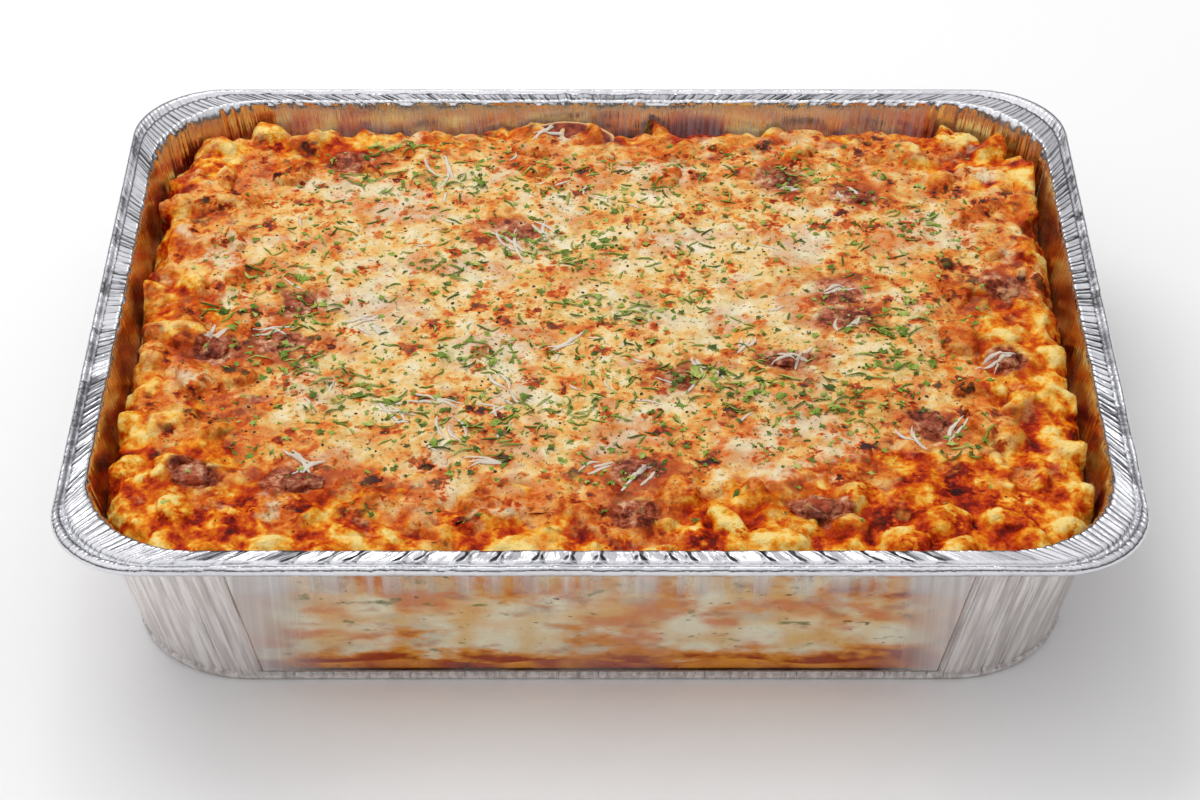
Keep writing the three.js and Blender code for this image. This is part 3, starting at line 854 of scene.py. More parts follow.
rows, columns = foil_rings.shape[:2]
from_rim = len(inner_rings)
past_rim = from_rim + len(rim_rings)
first_inner = 2
last_inner = first_inner + len(WALL_LEVELS) - 3
first_outer = past_rim + 1
last_outer = first_outer + len(WALL_LEVELS) - 3
window_from = int(np.argmax(on_front)) + 1
window_to = window_from + int(on_front.sum()) - 3


def foil_masks():
    """Where each point is on the tray, and which finish it has there."""
    row = np.arange(rows)
    is_inner = row < from_rim - 1
    on_flange = (row >= from_rim) & (row < from_rim + FLANGE_ROWS)
    on_wall = np.repeat((row < from_rim) | (row >= past_rim), columns)
    across = np.zeros(rows)
    across[from_rim:past_rim] = [share / 0.6 for share, _, _ in RIM_SECTION]
    middle = 1 - smoothstep(np.abs(foil_walk.outline(OPEN_HALF, OPEN_CORNER)[:, 0]), *KNURLED_TO)
    return {
        "travel": np.tile(foil_walk.travel * MM, rows),
        "level": np.repeat(row * LEVEL_STEP, columns),
        "outside": np.repeat(row >= past_rim, columns),
        "walls": on_wall,
        "gathers": np.maximum(np.tile(gather, rows), on_wall),
        "across": np.repeat(across, columns),
        "knurled": np.outer(on_flange, on_front * middle * 0.9 + on_back * 0.3).ravel(),
        "crimped": np.outer(on_flange, on_right * 0.8 + on_left * 0.35 + on_back * 0.6).ravel(),
        "greasy": np.outer(is_inner, (1 - on_back) * (1 - 0.6 * gather)).ravel(),
        "steamed": np.outer(is_inner, on_back).ravel(),
    }


def foil_faces():
    """The shell's faces, open where the clear panel sits."""
    keep = np.ones((rows - 1, columns), dtype=bool)
    keep[first_inner:last_inner, window_from:window_to] = False
    keep[first_outer:last_outer, window_from:window_to] = False
    faces = ring_faces(rows, columns, keep)
    for inner, outer in ((first_inner, last_outer), (last_inner, first_outer)):
        for c in range(window_from, window_to):
            a, b = inner * columns + c, outer * columns + c
            faces.append((a, a + 1, b + 1, b))
    for edge in (window_from, window_to):
        for step in range(last_inner - first_inner):
            a, b = (first_inner + step) * columns + edge, (last_outer - step) * columns + edge
            faces.append((a, a + columns, b - columns, b))
    return faces


add_piece(
    "pleated_foil", foil_rings.reshape(-1, 3), foil_faces(), foil, ["foil_tray"], foil_masks(),
)

# %% [markdown]
# ## The clear panel
# The middle of the front wall is see-through and slightly misted. It could be real refraction, but
# the food stands right behind it, so a pale veil that lets most of the food show, with a soft
# gloss, gives the same look without noise. The mist is denser in upright bands near the top.

# %% Panel material


def panel_material():
    """A misted clear panel."""
    material, w, shader = new_material("panel")
    where = w.split_place()
    flat = w.plane(where["X"])
    veil = w.times(w.step(w.noise(120, 2, 0.5, flat), 0.42, 0.58), w.step(where["Z"], 0.03, 0.05))
    ends = w.step(w.math("ABSOLUTE", where["X"]), 0.08, 0.106)
    mist = w.step(w.noise(30, 2), 0.35, 0.7, 0.0, 0.1)
    w.feed(shader.inputs["Alpha"], w.total(mist, (veil, 0.42), (ends, 0.6)))
    ribs = w.step(w.noise(260, 2, 0.6, flat), 0.4, 0.6)
    tint = w.mix(ribs, colour(232, 226, 224), colour(250, 246, 244))
    bumps = [(w.noise(120, 2), 0.15, 0.0004)]
    finish_surface(w, shader, tint, (60, 2, 0.22, 0.4), bumps, 0.16)
    return material


window = frame["nodes"]["front_window"]
window.data.materials.clear()
window.data.materials.append(panel_material())

# %% [markdown]
# ## The lumps in the filling
# Gnocchi and pasta stand out of the filling in rows round its edge. Single balls would meet in sharp
# seams, so there are none: each lump is kept as a matrix, and the filling's skin is pushed out along
# its way until it covers the last lump. They are the same seeded lumps as in the solid.

# %% Rows of lumps
FOOD_CONTACT = 40
FOOD_SHRINK = 2.6
FILLING_TOP = 51.4
FOOD_LIMIT = 55.3
SAUCE_TOP = 8
SAUCE_WAVE = 1.4
CHEESE_TOP = 53.7
CHEESE_HALF = (118, 90)
CHEESE_CENTRE = np.array([-2.0, 13.0])
LUMP_ROWS = [
    {"inset": 9, "spacing": 19, "top": 54.4, "seed": 11},
    {"inset": 21, "spacing": 22, "top": 55.2, "seed": 29},
    {"inset": 34, "spacing": 25, "top": 55.2, "seed": 53},
]


def even_marks(steps):
    """Evenly spaced shares along a side, without its ends."""
    return [step / steps for step in range(1, steps)]


def lump_matrix(place, size, turn=0.0, tilt=0.0, roll=0.0):
    """Where a lump lies, as a matrix that takes a unit ball to it."""
    turned = Euler((roll, tilt, turn)).to_matrix().to_4x4()
    return Matrix.Translation(place) @ turned @ Matrix.Diagonal((*[s / 2 for s in size], 1))


def lump_row(inset, spacing, top, seed):
    """One row of lumps round the tray, each 15 to 21 mm long, lying more or less along the wall."""
    chance = make_chance(seed)
    walk = Walk(20, even_marks(60), even_marks(60))
    path = walk.wall(FILLING_TOP, -inset)
    row = []
    walked = 0.0
    following = chance(0, spacing)
    for i, point in enumerate(path):
        walked += float(np.linalg.norm(point - path[i - 1])) if i else 0.0
        if walked < following:
            continue
        following += spacing * chance(0.8, 1.2)
        height = chance(9, 12)
        x = point[0] + chance(-2.5, 2.5)
        y = point[1] + chance(-2.5, 2.5)
        z = top - chance(0, 2) - height / 2
        length = chance(15, 21)
        width = chance(11.5, 14.5)
        turn = walk.angle[i] + math.pi / 2 + chance(-1.1, 1.1)
        row.append(lump_matrix((x, y, z), (length, width, height), turn, chance(-0.15, 0.15)))
    return row


lumps = [matrix for row in LUMP_ROWS for matrix in lump_row(**row)]
print("lumps:", len(lumps))

# %% [markdown]
# ## How far the lumps reach
# A point of the skin looks along its way out and asks where it would leave the last lump. In a
# lump's own space the lump is a ball of radius 1, so that is where a straight line leaves a ball:
# one quadratic equation, solved for all the points at once.

# %% Reach of the lumps


def reach_of_lumps(points, ways):
    """How far each line runs before it leaves the last lump, and which lump that is, or -3 and -1."""
    farthest = np.full(len(points), -3.0)
    which = np.full(len(points), -1)
    for number, matrix in enumerate(lumps):
        inverse = np.array(matrix.inverted())
        start = points @ inverse[:3, :3].T + inverse[:3, 3]
        step = ways @ inverse[:3, :3].T
        a = (step * step).sum(axis=1)
        b = (start * step).sum(axis=1)
        inside = b * b - a * ((start * start).sum(axis=1) - 1)
        reach = (np.sqrt(np.maximum(inside, 0)) - b) / a
        better = (inside > 0) & (reach > farthest)
        farthest = np.where(better, reach, farthest)
        which = np.where(better, number, which)
    return farthest, which


straight_up = reach_of_lumps(np.array(lumps[0].translation)[None], np.array([[0.0, 0.0, 1.0]]))
print("from the first lump's middle to its top:", round(float(straight_up[0][0]), 1), "mm")

# %% [markdown]
# ## Where the meat lies
# The browned pieces come from the frame: each has a node, and its box gives its middle and size.
# The food sinks a little where one lies in it, and fat has cooked out into the cheese round about.
# Both could be painted by hand, but two masks worked out from the boxes always fit the pieces: the
# bed of each piece, and the stain round it.

# %% Places of the meat
TORN_BY = 1.5

meat_names = sorted(name for name in frame["nodes"] if name.startswith("meat_"))
meat_boxes = {name: np.array(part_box(name)) / MM for name in meat_names}
meat_middles = np.array([box.mean(axis=0) for box in meat_boxes.values()])
meat_halves = np.array([(box[1] - box[0])[:2] / 2 for box in meat_boxes.values()])


def from_meat(xy):
    """Distance from the nearest piece of meat, where 1 is its own outline."""
    nearest = np.full(len(xy), 9.0)
    for middle, half in zip(meat_middles, meat_halves):
        nearest = np.minimum(nearest, np.hypot(*((xy - middle[:2]) / half).T))
    return nearest


def meat_bed(xy):
    """1 under a piece of meat, 0 outside it, with a torn edge."""
    flat = np.column_stack([xy, np.zeros(len(xy))])
    torn = TORN_BY * (rough_noise(flat, 7, 3, 51) - 0.5)
    return 1 - smoothstep(from_meat(xy) + torn, 1.0, 1.25)


def near_meat(xy):
    """1 at a piece of meat, falling to 0 some way outside it."""
    return 1 - smoothstep(from_meat(xy), 0.9, 3.0)


print("meat pieces:", len(meat_names))

# %% [markdown]
# ## The filling's shape
# Seen from above, the filling is a crust of lumps round the cheese; seen through the clear panel it
# is smooth. Its skin is a fine stack of rings that starts under the cheese, runs out over the lumps
# and down the wall, each point pushed out over the lumps and roughened with noise. The steps are
# small enough for the crust's crags to be real, because a bump would look flat at the edge.

# %% Rings and limits of the skin
SKIN_RINGS = [
    (FILLING_TOP, 30, 0),
    (FILLING_TOP, 12.5, 0),
    (FILLING_TOP - 0.8, 8, 0.35),
    (FILLING_TOP - 3, 4.6, 0.75),
    (FOOD_CONTACT, 0, 1),
]
SKIN_STEP = 0.9
MIDDLE_FROM = 0.72
FOOD_CREST = 54.6
food_walk = Walk(60, even_marks(225), even_marks(170))


def finer(rings, step):
    """More rings in even steps between the given ones."""
    fine = []
    for start, end in zip(rings, rings[1:]):
        count = max(1, round(math.dist(start[:2], end[:2]) / step))
        fine += [np.array(start) + (np.array(end) - start) * i / count for i in range(count)]
    return np.array(fine + [rings[-1]])


def clearance(walk):
    """How far the food keeps from the wall. It reaches just into the clear panel."""
    behind_panel = (walk.corner == 2) & ~walk.in_corner
    return np.where(walk.in_corner, GAP + 2 * WALL_PLEAT, np.where(behind_panel, -0.1, GAP))


def eased(height):
    """Heights that would stand above the crest, eased back below it."""
    return np.where(height > FOOD_CREST, FOOD_CREST + np.tanh(height - FOOD_CREST), height)


def sauce_line(walk):
    """The uneven line between the sauce and the filling above it."""
    x, y, _ = walk.wall(SAUCE_TOP).T
    k = 2 * math.pi / 47
    swing = 0.5 * np.sin(k * x + 1.3 * np.sin(0.7 * k * y) + 1.2)
    swing = swing + 0.5 * np.sin(k * 0.8 * y + 1.1 * np.sin(0.9 * k * x) + 2.4)
    return SAUCE_TOP + SAUCE_WAVE * swing


rings_of_skin = finer(SKIN_RINGS, SKIN_STEP)
print("rings from the cheese to the wall:", len(rings_of_skin))

# %% [markdown]
# ## The filling's relief
# Bare lumps look like marbles. In the oven they slump, cheese and sauce fill the gaps between them,
# and the top dries into crags and creases. So the lumps are first pulled about, then the gaps are
# filled by blending in a slow swell, and two sizes of noise and sharp creases make the crust.

# %% Relief of the filling
WARP_SIZE, WARP_BY = 11, 12
MELT_SIZE, MELT_HEIGHT, MELT_DROP, MELT_BLEND = 13, 3.6, 1.3, 0.9
CRAG_SIZE, CRAG_HEIGHT = 6, 3.6
CRUMB_SIZE, CRUMB_HEIGHT = 1.9, 1.2
CREASE_SIZE = 6.5
CRUST_MIDDLE = 0.6


def warped(points):
    """The points pulled about, so that the lumps lose their smooth outline."""
    shifts = [rough_noise(points, WARP_SIZE, 2, seed) - 0.5 for seed in (31, 37, 41)]
    return points + WARP_BY * np.column_stack(shifts)


def slumped(reach, base, z):
    """The lumps' reach, with the gaps between them filled by what has melted into them."""
    melted = MELT_HEIGHT * rough_noise(base, MELT_SIZE, 2, 44) - MELT_DROP
    reach = (reach + melted + np.hypot(reach - melted, MELT_BLEND)) / 2
    return np.where(reach < 0, reach * smoothstep(z, FOOD_CONTACT, FOOD_CONTACT + 8), reach)


def crust_relief(spot, z):
    """Crags, crumbs and creases, fading out down the wall."""
    crease = 1 - np.abs(2 * smooth_noise(spot, CREASE_SIZE, 47) - 1)
    crags = CRAG_HEIGHT * (rough_noise(spot, CRAG_SIZE, 3, 2) - 0.5)
    crust = crags + CRUMB_HEIGHT * (rough_noise(spot, CRUMB_SIZE, 2, 5) - 0.5) + crease
    return (crust - CRUST_MIDDLE) * smoothstep(z, FOOD_CONTACT, FOOD_CONTACT + 6)


print("crags", CRAG_HEIGHT, "mm high, crumbs", CRUMB_HEIGHT, "mm")

# %% Build the skin


def skin_ring(z, inset, sideways, shrink=1.0):
    """One ring of the skin, pushed out over the lumps and roughened. The inner ones are shrunk copies."""
    up = math.sqrt(1 - sideways ** 2)
    ways = np.column_stack([food_walk.outward * sideways, np.full(len(food_walk.angle), up)])
    base = food_walk.wall(z, -np.maximum(inset, clearance(food_walk))) * (shrink, shrink, 1)
    reach, which = reach_of_lumps(warped(base), ways)
    reach = slumped(reach, base, z)
    crust = crust_relief(base + ways * reach[:, None], z)
    height = eased(z + (reach + crust) * up - 0.5 * meat_bed(base[:, :2]))
    least = np.maximum(FOOD_SHRINK * smoothstep(height, FOOD_CONTACT, FILLING_TOP), clearance(food_walk))
    ring = food_walk.wall(height, -np.maximum(inset - (reach + crust) * sideways, least))
    return ring * (shrink, shrink, 1), which


def middle_rings():
    """Shrunk rings: a few that close the filling under the cheese, then fine ones towards its edge."""
    fine = np.arange(MIDDLE_FROM, 1, SKIN_STEP / OPEN_HALF[0])
    return [skin_ring(*SKIN_RINGS[0], shrink) for shrink in (0.02, 0.4, *fine)]


inner_skin = [ring for ring, _ in middle_rings()]
skin = [skin_ring(*ring) for ring in rings_of_skin]
skin_points = np.array(inner_skin + [ring for ring, _ in skin])
no_lump = np.full(len(food_walk.angle), -1)
skin_lumps = np.array([no_lump] * len(inner_skin) + [which for _, which in skin])
foot_line = sauce_line(food_walk) - 1.0
foot_rings = [
    food_walk.wall(FOOD_CONTACT + (foot_line - FOOD_CONTACT) * share, -clearance(food_walk))
    for share in (0.25, 0.5, 0.75, 0.98, 1)
]
filling_points = np.concatenate([skin_points, np.array(foot_rings)])
print("skin of", len(skin_points), "rings by", len(food_walk.angle))

# %% [markdown]
# ## How far the cheese reaches
# The blanket of cheese has no clean edge: it wanders, thins out and breaks up into crust. The
# filling has to show baked cheese in the same places, so one function of the plan says how near the
# edge a point is, and both pieces use it.

# %% How far the cheese reaches


def cheese_reach(angle):
    """Distance from the blanket's middle to its wandering edge."""
    across, up = np.cos(angle) / CHEESE_HALF[0], np.sin(angle) / CHEESE_HALF[1]
    oblong = (np.abs(across) ** 4 + np.abs(up) ** 4) ** -0.25
    wander = 0.035 * np.sin(3 * angle + 1) + 0.03 * np.sin(7 * angle) + 0.02 * np.sin(13 * angle + 2)
    return oblong * (1 + wander)


def cheese_share(x, y):
    """0 at the middle of the blanket and 1 at its edge."""
    dx, dy = x - CHEESE_CENTRE[0], y - CHEESE_CENTRE[1]
    return np.hypot(dx, dy) / cheese_reach(np.arctan2(dy, dx))


def cheese_edge(xy):
    """0 on the smooth middle of the blanket, 1 where it has broken up into crust."""
    flat = np.column_stack([xy, np.zeros(len(xy))])
    ragged = 0.5 * (rough_noise(flat, 26, 3, 6) - 0.5) + 0.25 * (rough_noise(flat, 8, 2, 9) - 0.5)
    return np.clip((cheese_share(*xy.T) + ragged - 0.6) / 0.5, 0, 1.6)


print("cheese reaches", [round(float(cheese_reach(a)), 1) for a in (0, math.pi / 2)], "mm from its middle")

# %% [markdown]
# ## Masks of the filling
# The crust is painted darker in its hollows and paler on its crests, as painted shade and painted
# light, and pale on bare pasta. A hollow is where the skin lies below the running mean of its
# neighbours, and every lump has a tone of its own, blurred a little where two lumps meet. Both are
# worked out once for all the points, which costs less than asking the renderer.

# %% Masks of the filling


def blurred(values, rows_wide, columns_wide):
    """A running mean over a closed grid of rings."""
    total = sum(np.roll(values, shift, axis=1) for shift in range(-columns_wide, columns_wide + 1))
    padded = np.pad(total, ((rows_wide, rows_wide), (0, 0)), mode="edge")
    count = len(values)
    total = sum(padded[shift:shift + count] for shift in range(2 * rows_wide + 1))
    return total / ((2 * columns_wide + 1) * (2 * rows_wide + 1))


filling_z = filling_points[:, :, 2]
# Relief of the skin: the crust takes painted shade from its hollows and painted light from its crests.
lift = np.clip((filling_z - blurred(filling_z, 7, 7)) / 3 + 0.5, 0, 1)
lift[:len(inner_skin)] = 0.5
lift[len(skin_points) - 10:] = 0.5
lump_tones = np.random.default_rng(3).random(len(lumps) + 1)
tone = np.full(filling_z.shape, 0.3)
tone[:len(skin_points)] = np.where(skin_lumps >= 0, lump_tones[skin_lumps], 0.15)
tone = blurred(tone, 2, 2)
print("lift from", round(float(lift.min()), 2), "to", round(float(lift.max()), 2))

# %% [markdown]
# ## Mottle and baked spots as shared effects
# Cheese and filling brown in the same oven, so they share their effects: mottle, which is noise with
# a soft threshold, and small round blisters that catch. The blisters are Voronoi cells whose places
# are pulled about by noise, because plain cells look like a pattern. Each effect is a node group
# with its own sockets, built once and placed wherever it is needed.

# %% Shared effects


def mottle_group():
    """Layers of noise with a soft threshold."""
    tree, w, given, result = new_group(
        "mottle",
        {"Scale": 300.0, "Low": 0.4, "High": 0.6},
        {"Mask": "NodeSocketFloat"},
    )
    noise = w.noise(given["Scale"], 4.0, 0.6, None, 0.4)
    w.feed(result["Mask"], w.step(noise, given["Low"], given["High"]))
    return tree


def baked_spots_group():
    """Blisters: Mask is 1 in them. Cover is the share of cells that have one."""
    tree, w, given, result = new_group(
        "baked_spots",
        {"Scale": 160.0, "Cover": 0.5, "Size": 0.35, "Wander": 0.3},
        {"Mask": "NodeSocketFloat"},
    )
    wander = w.node("ShaderNodeTexNoise", {"Vector": w.place(), "Scale": 500.0, "Detail": 3.0}).outputs
    pull = w.vector("SUBTRACT", wander["Color"], (0.5, 0.5, 0.5))
    amount = w.math("DIVIDE", given["Wander"], given["Scale"])
    pull = w.node("ShaderNodeVectorMath", {0: pull, "Scale": amount}, operation="SCALE").outputs[0]
    flat = w.vector("MULTIPLY", w.vector("ADD", w.place(), pull), (1.0, 1.0, 0.35))
    cells = w.node("ShaderNodeTexVoronoi", {"Vector": flat, "Scale": given["Scale"]}).outputs
    own = w.node("ShaderNodeSeparateColor", {0: cells["Color"]}).outputs
    size = w.times(given["Size"], w.math("ADD", own["Green"], 0.4))
    round_mask = w.step(cells["Distance"], w.times(size, 0.35), size, 1.0, 0.0)
    present = w.step(own["Red"], given["Cover"], w.math("ADD", given["Cover"], 0.04), 1.0, 0.0)
    w.feed(result["Mask"], w.times(round_mask, present))
    return tree


mottle = mottle_group()
baked_spots = baked_spots_group()


def mottled(w, scale, low, high):
    """The mottle's mask, placed in a material or group."""
    return use_group(w, mottle, Scale=scale, Low=low, High=high)["Mask"]


def spotted(w, scale, cover, size, wander):
    """The baked spots' mask, placed in a material or group."""
    return use_group(w, baked_spots, Scale=scale, Cover=cover, Size=size, Wander=wander)["Mask"]


print("shared effects:", mottle.name, baked_spots.name)

# %% [markdown]
# ## The crust's colours
# A crust runs from pale pasta over gold and orange to red-brown and a little char. It would take
# many mixed layers to paint that, and they would blur into one brown. So there is a single number,
# how far a point has baked, and one ramp of colours for it: noise of several sizes, spots, painted
# shade in the hollows with painted light on the crests, and the Heat input all add to the number.

# %% The crust's colours
CRUST = [
    (0.00, colour(248, 218, 134)), (0.16, colour(245, 186, 72)), (0.31, colour(232, 136, 18)),
    (0.45, colour(212, 88, 4)), (0.60, colour(180, 46, 1)), (0.74, colour(136, 22, 1)),
    (0.90, colour(98, 16, 2)), (1.00, colour(56, 10, 2)),
]
RED_ORANGE = colour(176, 58, 4)


def baked_crust_group():
    """Crust from pale to charred. Lift is the relief, which paints shade into hollows and light onto
    crests. Pale is the share of bare pasta, Heat the browning and, from the filling, painted light.
    """
    tree, w, given, result = new_group(
        "baked_crust",
        {"Lift": 0.5, "Pale": 0.5, "Heat": 0.5},
        {"Color": "NodeSocketColor", "Bake": "NodeSocketFloat"},
    )
    bare = w.times(w.step(given["Pale"], 0.6, 0.85), w.step(given["Lift"], 0.45, 0.75))
    large = spotted(w, 75.0, 0.4, 0.5, 1.4)
    small = spotted(w, 190.0, 0.4, 0.5, 1.2)
    # Lift adds to the bake in hollows and takes from it on crests: painted shade and painted light.
    bake = w.total(
        -1.46,
        (w.noise(42, 2.0), 0.7), (w.noise(95, 3.0, 0.55, None, 0.3), 1.9), (w.noise(230, 3.0, 0.6), 1.0),
        (w.noise(640, 3.0, 0.6), 0.4), (given["Lift"], -0.3), (bare, -0.2), (large, 0.28), (small, 0.22),
        (given["Heat"], 0.12),
    )
    w.feed(result["Color"], w.ramp(bake, CRUST))
    w.feed(result["Bake"], bake)
    return tree


baked_crust = baked_crust_group()
print("crust colours:", len(CRUST))

# %% [markdown]
# ## The melted cheese's colours
# Melted cheese is cream where it is thick, turns gold and orange where it bakes, and is brown only
# on its blisters. It is baked by one number and a ramp too. Where it isn't baked, fat and milk have
# parted, so pink and milky patches are mixed in, then a green haze from the herbs and fine specks.

# %% The melted cheese's colours
CHEESE = [
    (0.00, colour(244, 232, 206)), (0.20, colour(241, 216, 164)), (0.36, colour(237, 192, 114)),
    (0.50, colour(232, 152, 64)), (0.64, colour(216, 102, 24)), (0.78, colour(176, 58, 8)),
    (0.90, colour(112, 30, 6)), (1.00, colour(58, 18, 7)),
]


def melted_cheese_group():
    """Cream cheese with orange and brown baked spots, pink and milky patches and fine specks."""
    tree, w, given, result = new_group(
        "melted_cheese",
        {"Edge": 0.0, "Grease": 0.0, "Herbs": 0.3},
        {"Color": "NodeSocketColor", "Spots": "NodeSocketFloat"},
    )
    large, small = spotted(w, 125.0, 0.4, 0.46, 1.4), spotted(w, 240.0, 0.46, 0.5, 1.2)
    spots = w.total(0.0, (large, 0.36), (small, 0.27))
    bake = w.total(
        -0.92,
        (w.noise(38, 2.0), 0.6), (w.noise(110, 3.0, 0.55, None, 0.4), 1.1), (w.noise(300, 3.0, 0.6), 0.6),
        (w.noise(800, 3.0, 0.6), 0.2), (spots, 1.15), (given["Edge"], 0.18), (given["Grease"], 0.14),
    )
    baked = w.ramp(bake, CHEESE)
    unbaked = w.step(bake, 0.42, 0.64, 0.55, 0.0)
    pink, milky = mottled(w, 55.0, 0.5, 0.62), mottled(w, 48.0, 0.52, 0.64)
    baked = w.mix(w.times(pink, unbaked), baked, colour(208, 128, 98))
    baked = w.mix(w.times(milky, unbaked), baked, colour(232, 226, 200))
    green = w.times(given["Herbs"], mottled(w, 160.0, 0.45, 0.6))
    baked = w.mix(w.times(green, 0.4), baked, colour(176, 178, 104))
    specks = mottled(w, 650.0, 0.59, 0.64)
    w.feed(result["Color"], w.mix(w.times(specks, 0.7), baked, colour(92, 66, 28)))
    w.feed(result["Spots"], spots)
    return tree


melted_cheese = melted_cheese_group()


def torn_share(w, edge):
    """Where the cheese has torn open and shows the crust, from its edge mask."""
    return w.step(w.total(0.0, (edge, 1.0), (w.noise(80, 3.0, 0.6), 1.8)), 1.8, 2.25)


print("cheese colours:", len(CHEESE))

# %% [markdown]
# ## The meat's colours
# The browned meat shows both as pieces of its own and through the cheese that covers some of them,
# so its colour is a group as well: dark and mid brown, with pinkish torn parts and pale fat.

# %% Meat colours
MEAT = [
    (0.00, colour(52, 14, 4)), (0.22, colour(100, 34, 13)), (0.42, colour(146, 62, 32)),
    (0.60, colour(178, 96, 64)), (0.78, colour(204, 138, 102)), (1.00, colour(228, 188, 148)),
]


def browned_meat_group():
    """Torn browned meat: dark and mid brown with pinkish parts and a little pale fat."""
    tree, w, given, result = new_group("browned_meat", {"Fat": 0.3}, {"Color": "NodeSocketColor"})
    brown = w.total(-1.5, (w.noise(120, 4, 0.6), 2.1), (w.noise(420, 4, 0.65), 1.7), (given["Fat"], 0.25))
    w.feed(result["Color"], w.ramp(brown, MEAT))
    return tree


browned_meat = browned_meat_group()
print("meat colours:", browned_meat.name)

# %% [markdown]
# ## The filling's two finishes
# The filling is baked on top and pale behind the clear panel. Two materials would need a seam, so
# one material holds both, and the height of a point says which of them it shows. Behind the panel
# soft blobs of pasta have patches of colour between them, drawn out sideways, and sauce below.

# %% What the panel shows
SIDE_PATCHES = [
    (40, 0.46, 0.64, 0.75, colour(246, 184, 112)),
    (58, 0.50, 0.68, 0.60, colour(212, 202, 180)),
    (80, 0.50, 0.70, 0.75, colour(230, 128, 66)),
    (120, 0.54, 0.72, 0.55, colour(190, 92, 44)),
    (190, 0.62, 0.72, 0.75, colour(116, 124, 60)),
    (330, 0.66, 0.72, 0.80, colour(84, 68, 30)),
]


def filling_side(w):
    """What the clear panel shows: pale soft lumps with orange and green between them, sauce below."""
    drawn_out = w.stretched(0.7, 1.0, 1.5)
    cells = w.node("ShaderNodeTexVoronoi", {
        "Vector": w.stretched(1.0, 1.0, 1.35), "Scale": 72.0, "Smoothness": 0.6, "Randomness": 1.0,
    }, feature="SMOOTH_F1").outputs
    blob = w.step(cells["Distance"], 0.3, 0.8, 1.0, 0.0)
    side = w.mix(blob, colour(244, 196, 120), colour(255, 246, 216))
    for scale, low, high, share, tint in SIDE_PATCHES:
        side = w.mix(w.step(w.noise(scale, 3, 0.5, drawn_out), low, high, 0.0, share), side, tint)
    low_down = w.step(w.split_place()["Z"], 0.006, 0.022, 1.0, 0.0)
    sauced = w.total(0.0, (low_down, 0.2), (w.noise(55, 4, 0.6, drawn_out), 1.0))
    side = w.mix(w.step(sauced, 0.54, 0.68, 0.0, 0.95), side, colour(240, 150, 14))
    return w.mix(w.step(sauced, 0.64, 0.76, 0.0, 0.95), side, colour(170, 52, 2))


print("patches behind the panel:", len(SIDE_PATCHES))

# %% [markdown]
# ## The baked top
# On top the crust comes first, then the cheese that has melted over it, torn open towards the wall,
# then fat and the meat's own brown. Three bumps, from folds to grain, catch the light in between.

# %% Filling material


def stained(w, tint, share, fat_tint):
    """A colour with fat soaked into it near the meat."""
    stain = w.times(w.mask("grease"), mottled(w, 110.0, 0.42, 0.6))
    return w.mix(w.times(stain, share), tint, fat_tint)


def filling_material():
    """Baked on top, pale and soft behind the clear panel."""
    material, w, shader = new_material("filling")
    where = w.split_place()
    # Lift paints shade into the crust's hollows; the browning mask also paints light at the back.
    crust = use_group(w, baked_crust, Lift=w.mask("lift"), Pale=w.mask("tone"), Heat=w.mask("heat"))
    melted = use_group(w, melted_cheese, Edge=1.2, Grease=w.mask("grease"), Herbs=0.2)["Color"]
    top = w.mix(torn_share(w, w.mask("edge")), melted, crust["Color"])
    top = stained(w, top, 0.6, RED_ORANGE)
    top = w.mix(w.mask("bed"), top, use_group(w, browned_meat, Fat=0.4)["Color"])
    behind_panel = w.step(where["Y"], -0.116, -0.113, 0.0075, 0.0)
    on_top = w.step(w.math("SUBTRACT", where["Z"], behind_panel), 0.038, 0.045)
    folds = w.total(0.0, (w.noise(140, 3, 0.55, None, 0.5), 1.0), (crust["Bake"], -0.12))
    bumps = [(folds, 0.5, 0.0035), (w.noise(420, 4, 0.65), 0.6, 0.0012), (w.noise(1500, 2), 0.25, 0.0003)]
    finish_surface(w, shader, w.mix(on_top, filling_side(w), top), (200, 3, 0.16, 0.4), bumps, 0.1)
    return material


filling_finish = filling_material()
print("filling nodes:", len(filling_finish.node_tree.nodes))

# %% [markdown]
# ## Build the filling
# The oven browned the outer crust most. That browning is one more mask, worked out by ring, which
# also makes the crust darker towards the right and paler at the back as painted light. It goes into
# the piece with the others.

# %% Build the filling
HEATED_RINGS = 45

outermost = len(inner_skin) + round((SKIN_RINGS[0][1] - SKIN_RINGS[1][1]) / SKIN_STEP)
by_ring = smoothstep(np.arange(len(filling_z)), outermost - HEATED_RINGS, outermost)
to_right = smoothstep(filling_points[:, :, 0], 80, 140)
painted_light_at_back = smoothstep(filling_points[:, :, 1], 60, 110)
# More bake towards the right, and less at the back, which is painted light.
heat = by_ring[:, None] * (1 + 1.1 * to_right - 1.3 * painted_light_at_back)
filling_xyz = filling_points.reshape(-1, 3)
filling_masks = {
    "lift": lift.ravel(),
    "tone": tone.ravel(),
    "heat": heat.ravel(),
    "bed": meat_bed(filling_xyz[:, :2]),
    "grease": near_meat(filling_xyz[:, :2]),
    "edge": cheese_edge(filling_xyz[:, :2]),
}
filling = add_piece(
    "baked_filling", filling_xyz, ring_faces(*filling_z.shape), filling_finish,
    ["pasta_filling"], filling_masks,
)

# %% [markdown]
# ## The sauce under the filling
# A layer of oily tomato sauce has settled on the tray's floor. It only shows as a band along the
# bottom of the clear panel, so a simple stack of rings with a mottled orange-red finish is enough.

# %% Sauce


def sauce_material():
    """Oily orange-red tomato sauce."""
    material, w, shader = new_material("sauce")
    red = w.mix(w.step(w.noise(45, 3), 0.4, 0.62), colour(182, 64, 6), colour(244, 156, 24))
    red = w.mix(w.step(w.noise(80, 4, 0.6, None, 0.6), 0.54, 0.68), red, colour(132, 40, 6))
    finish_surface(w, shader, red, (60, 2, 0.2, 0.4), [(w.noise(150, 3), 0.3, 0.0008)])
    return material


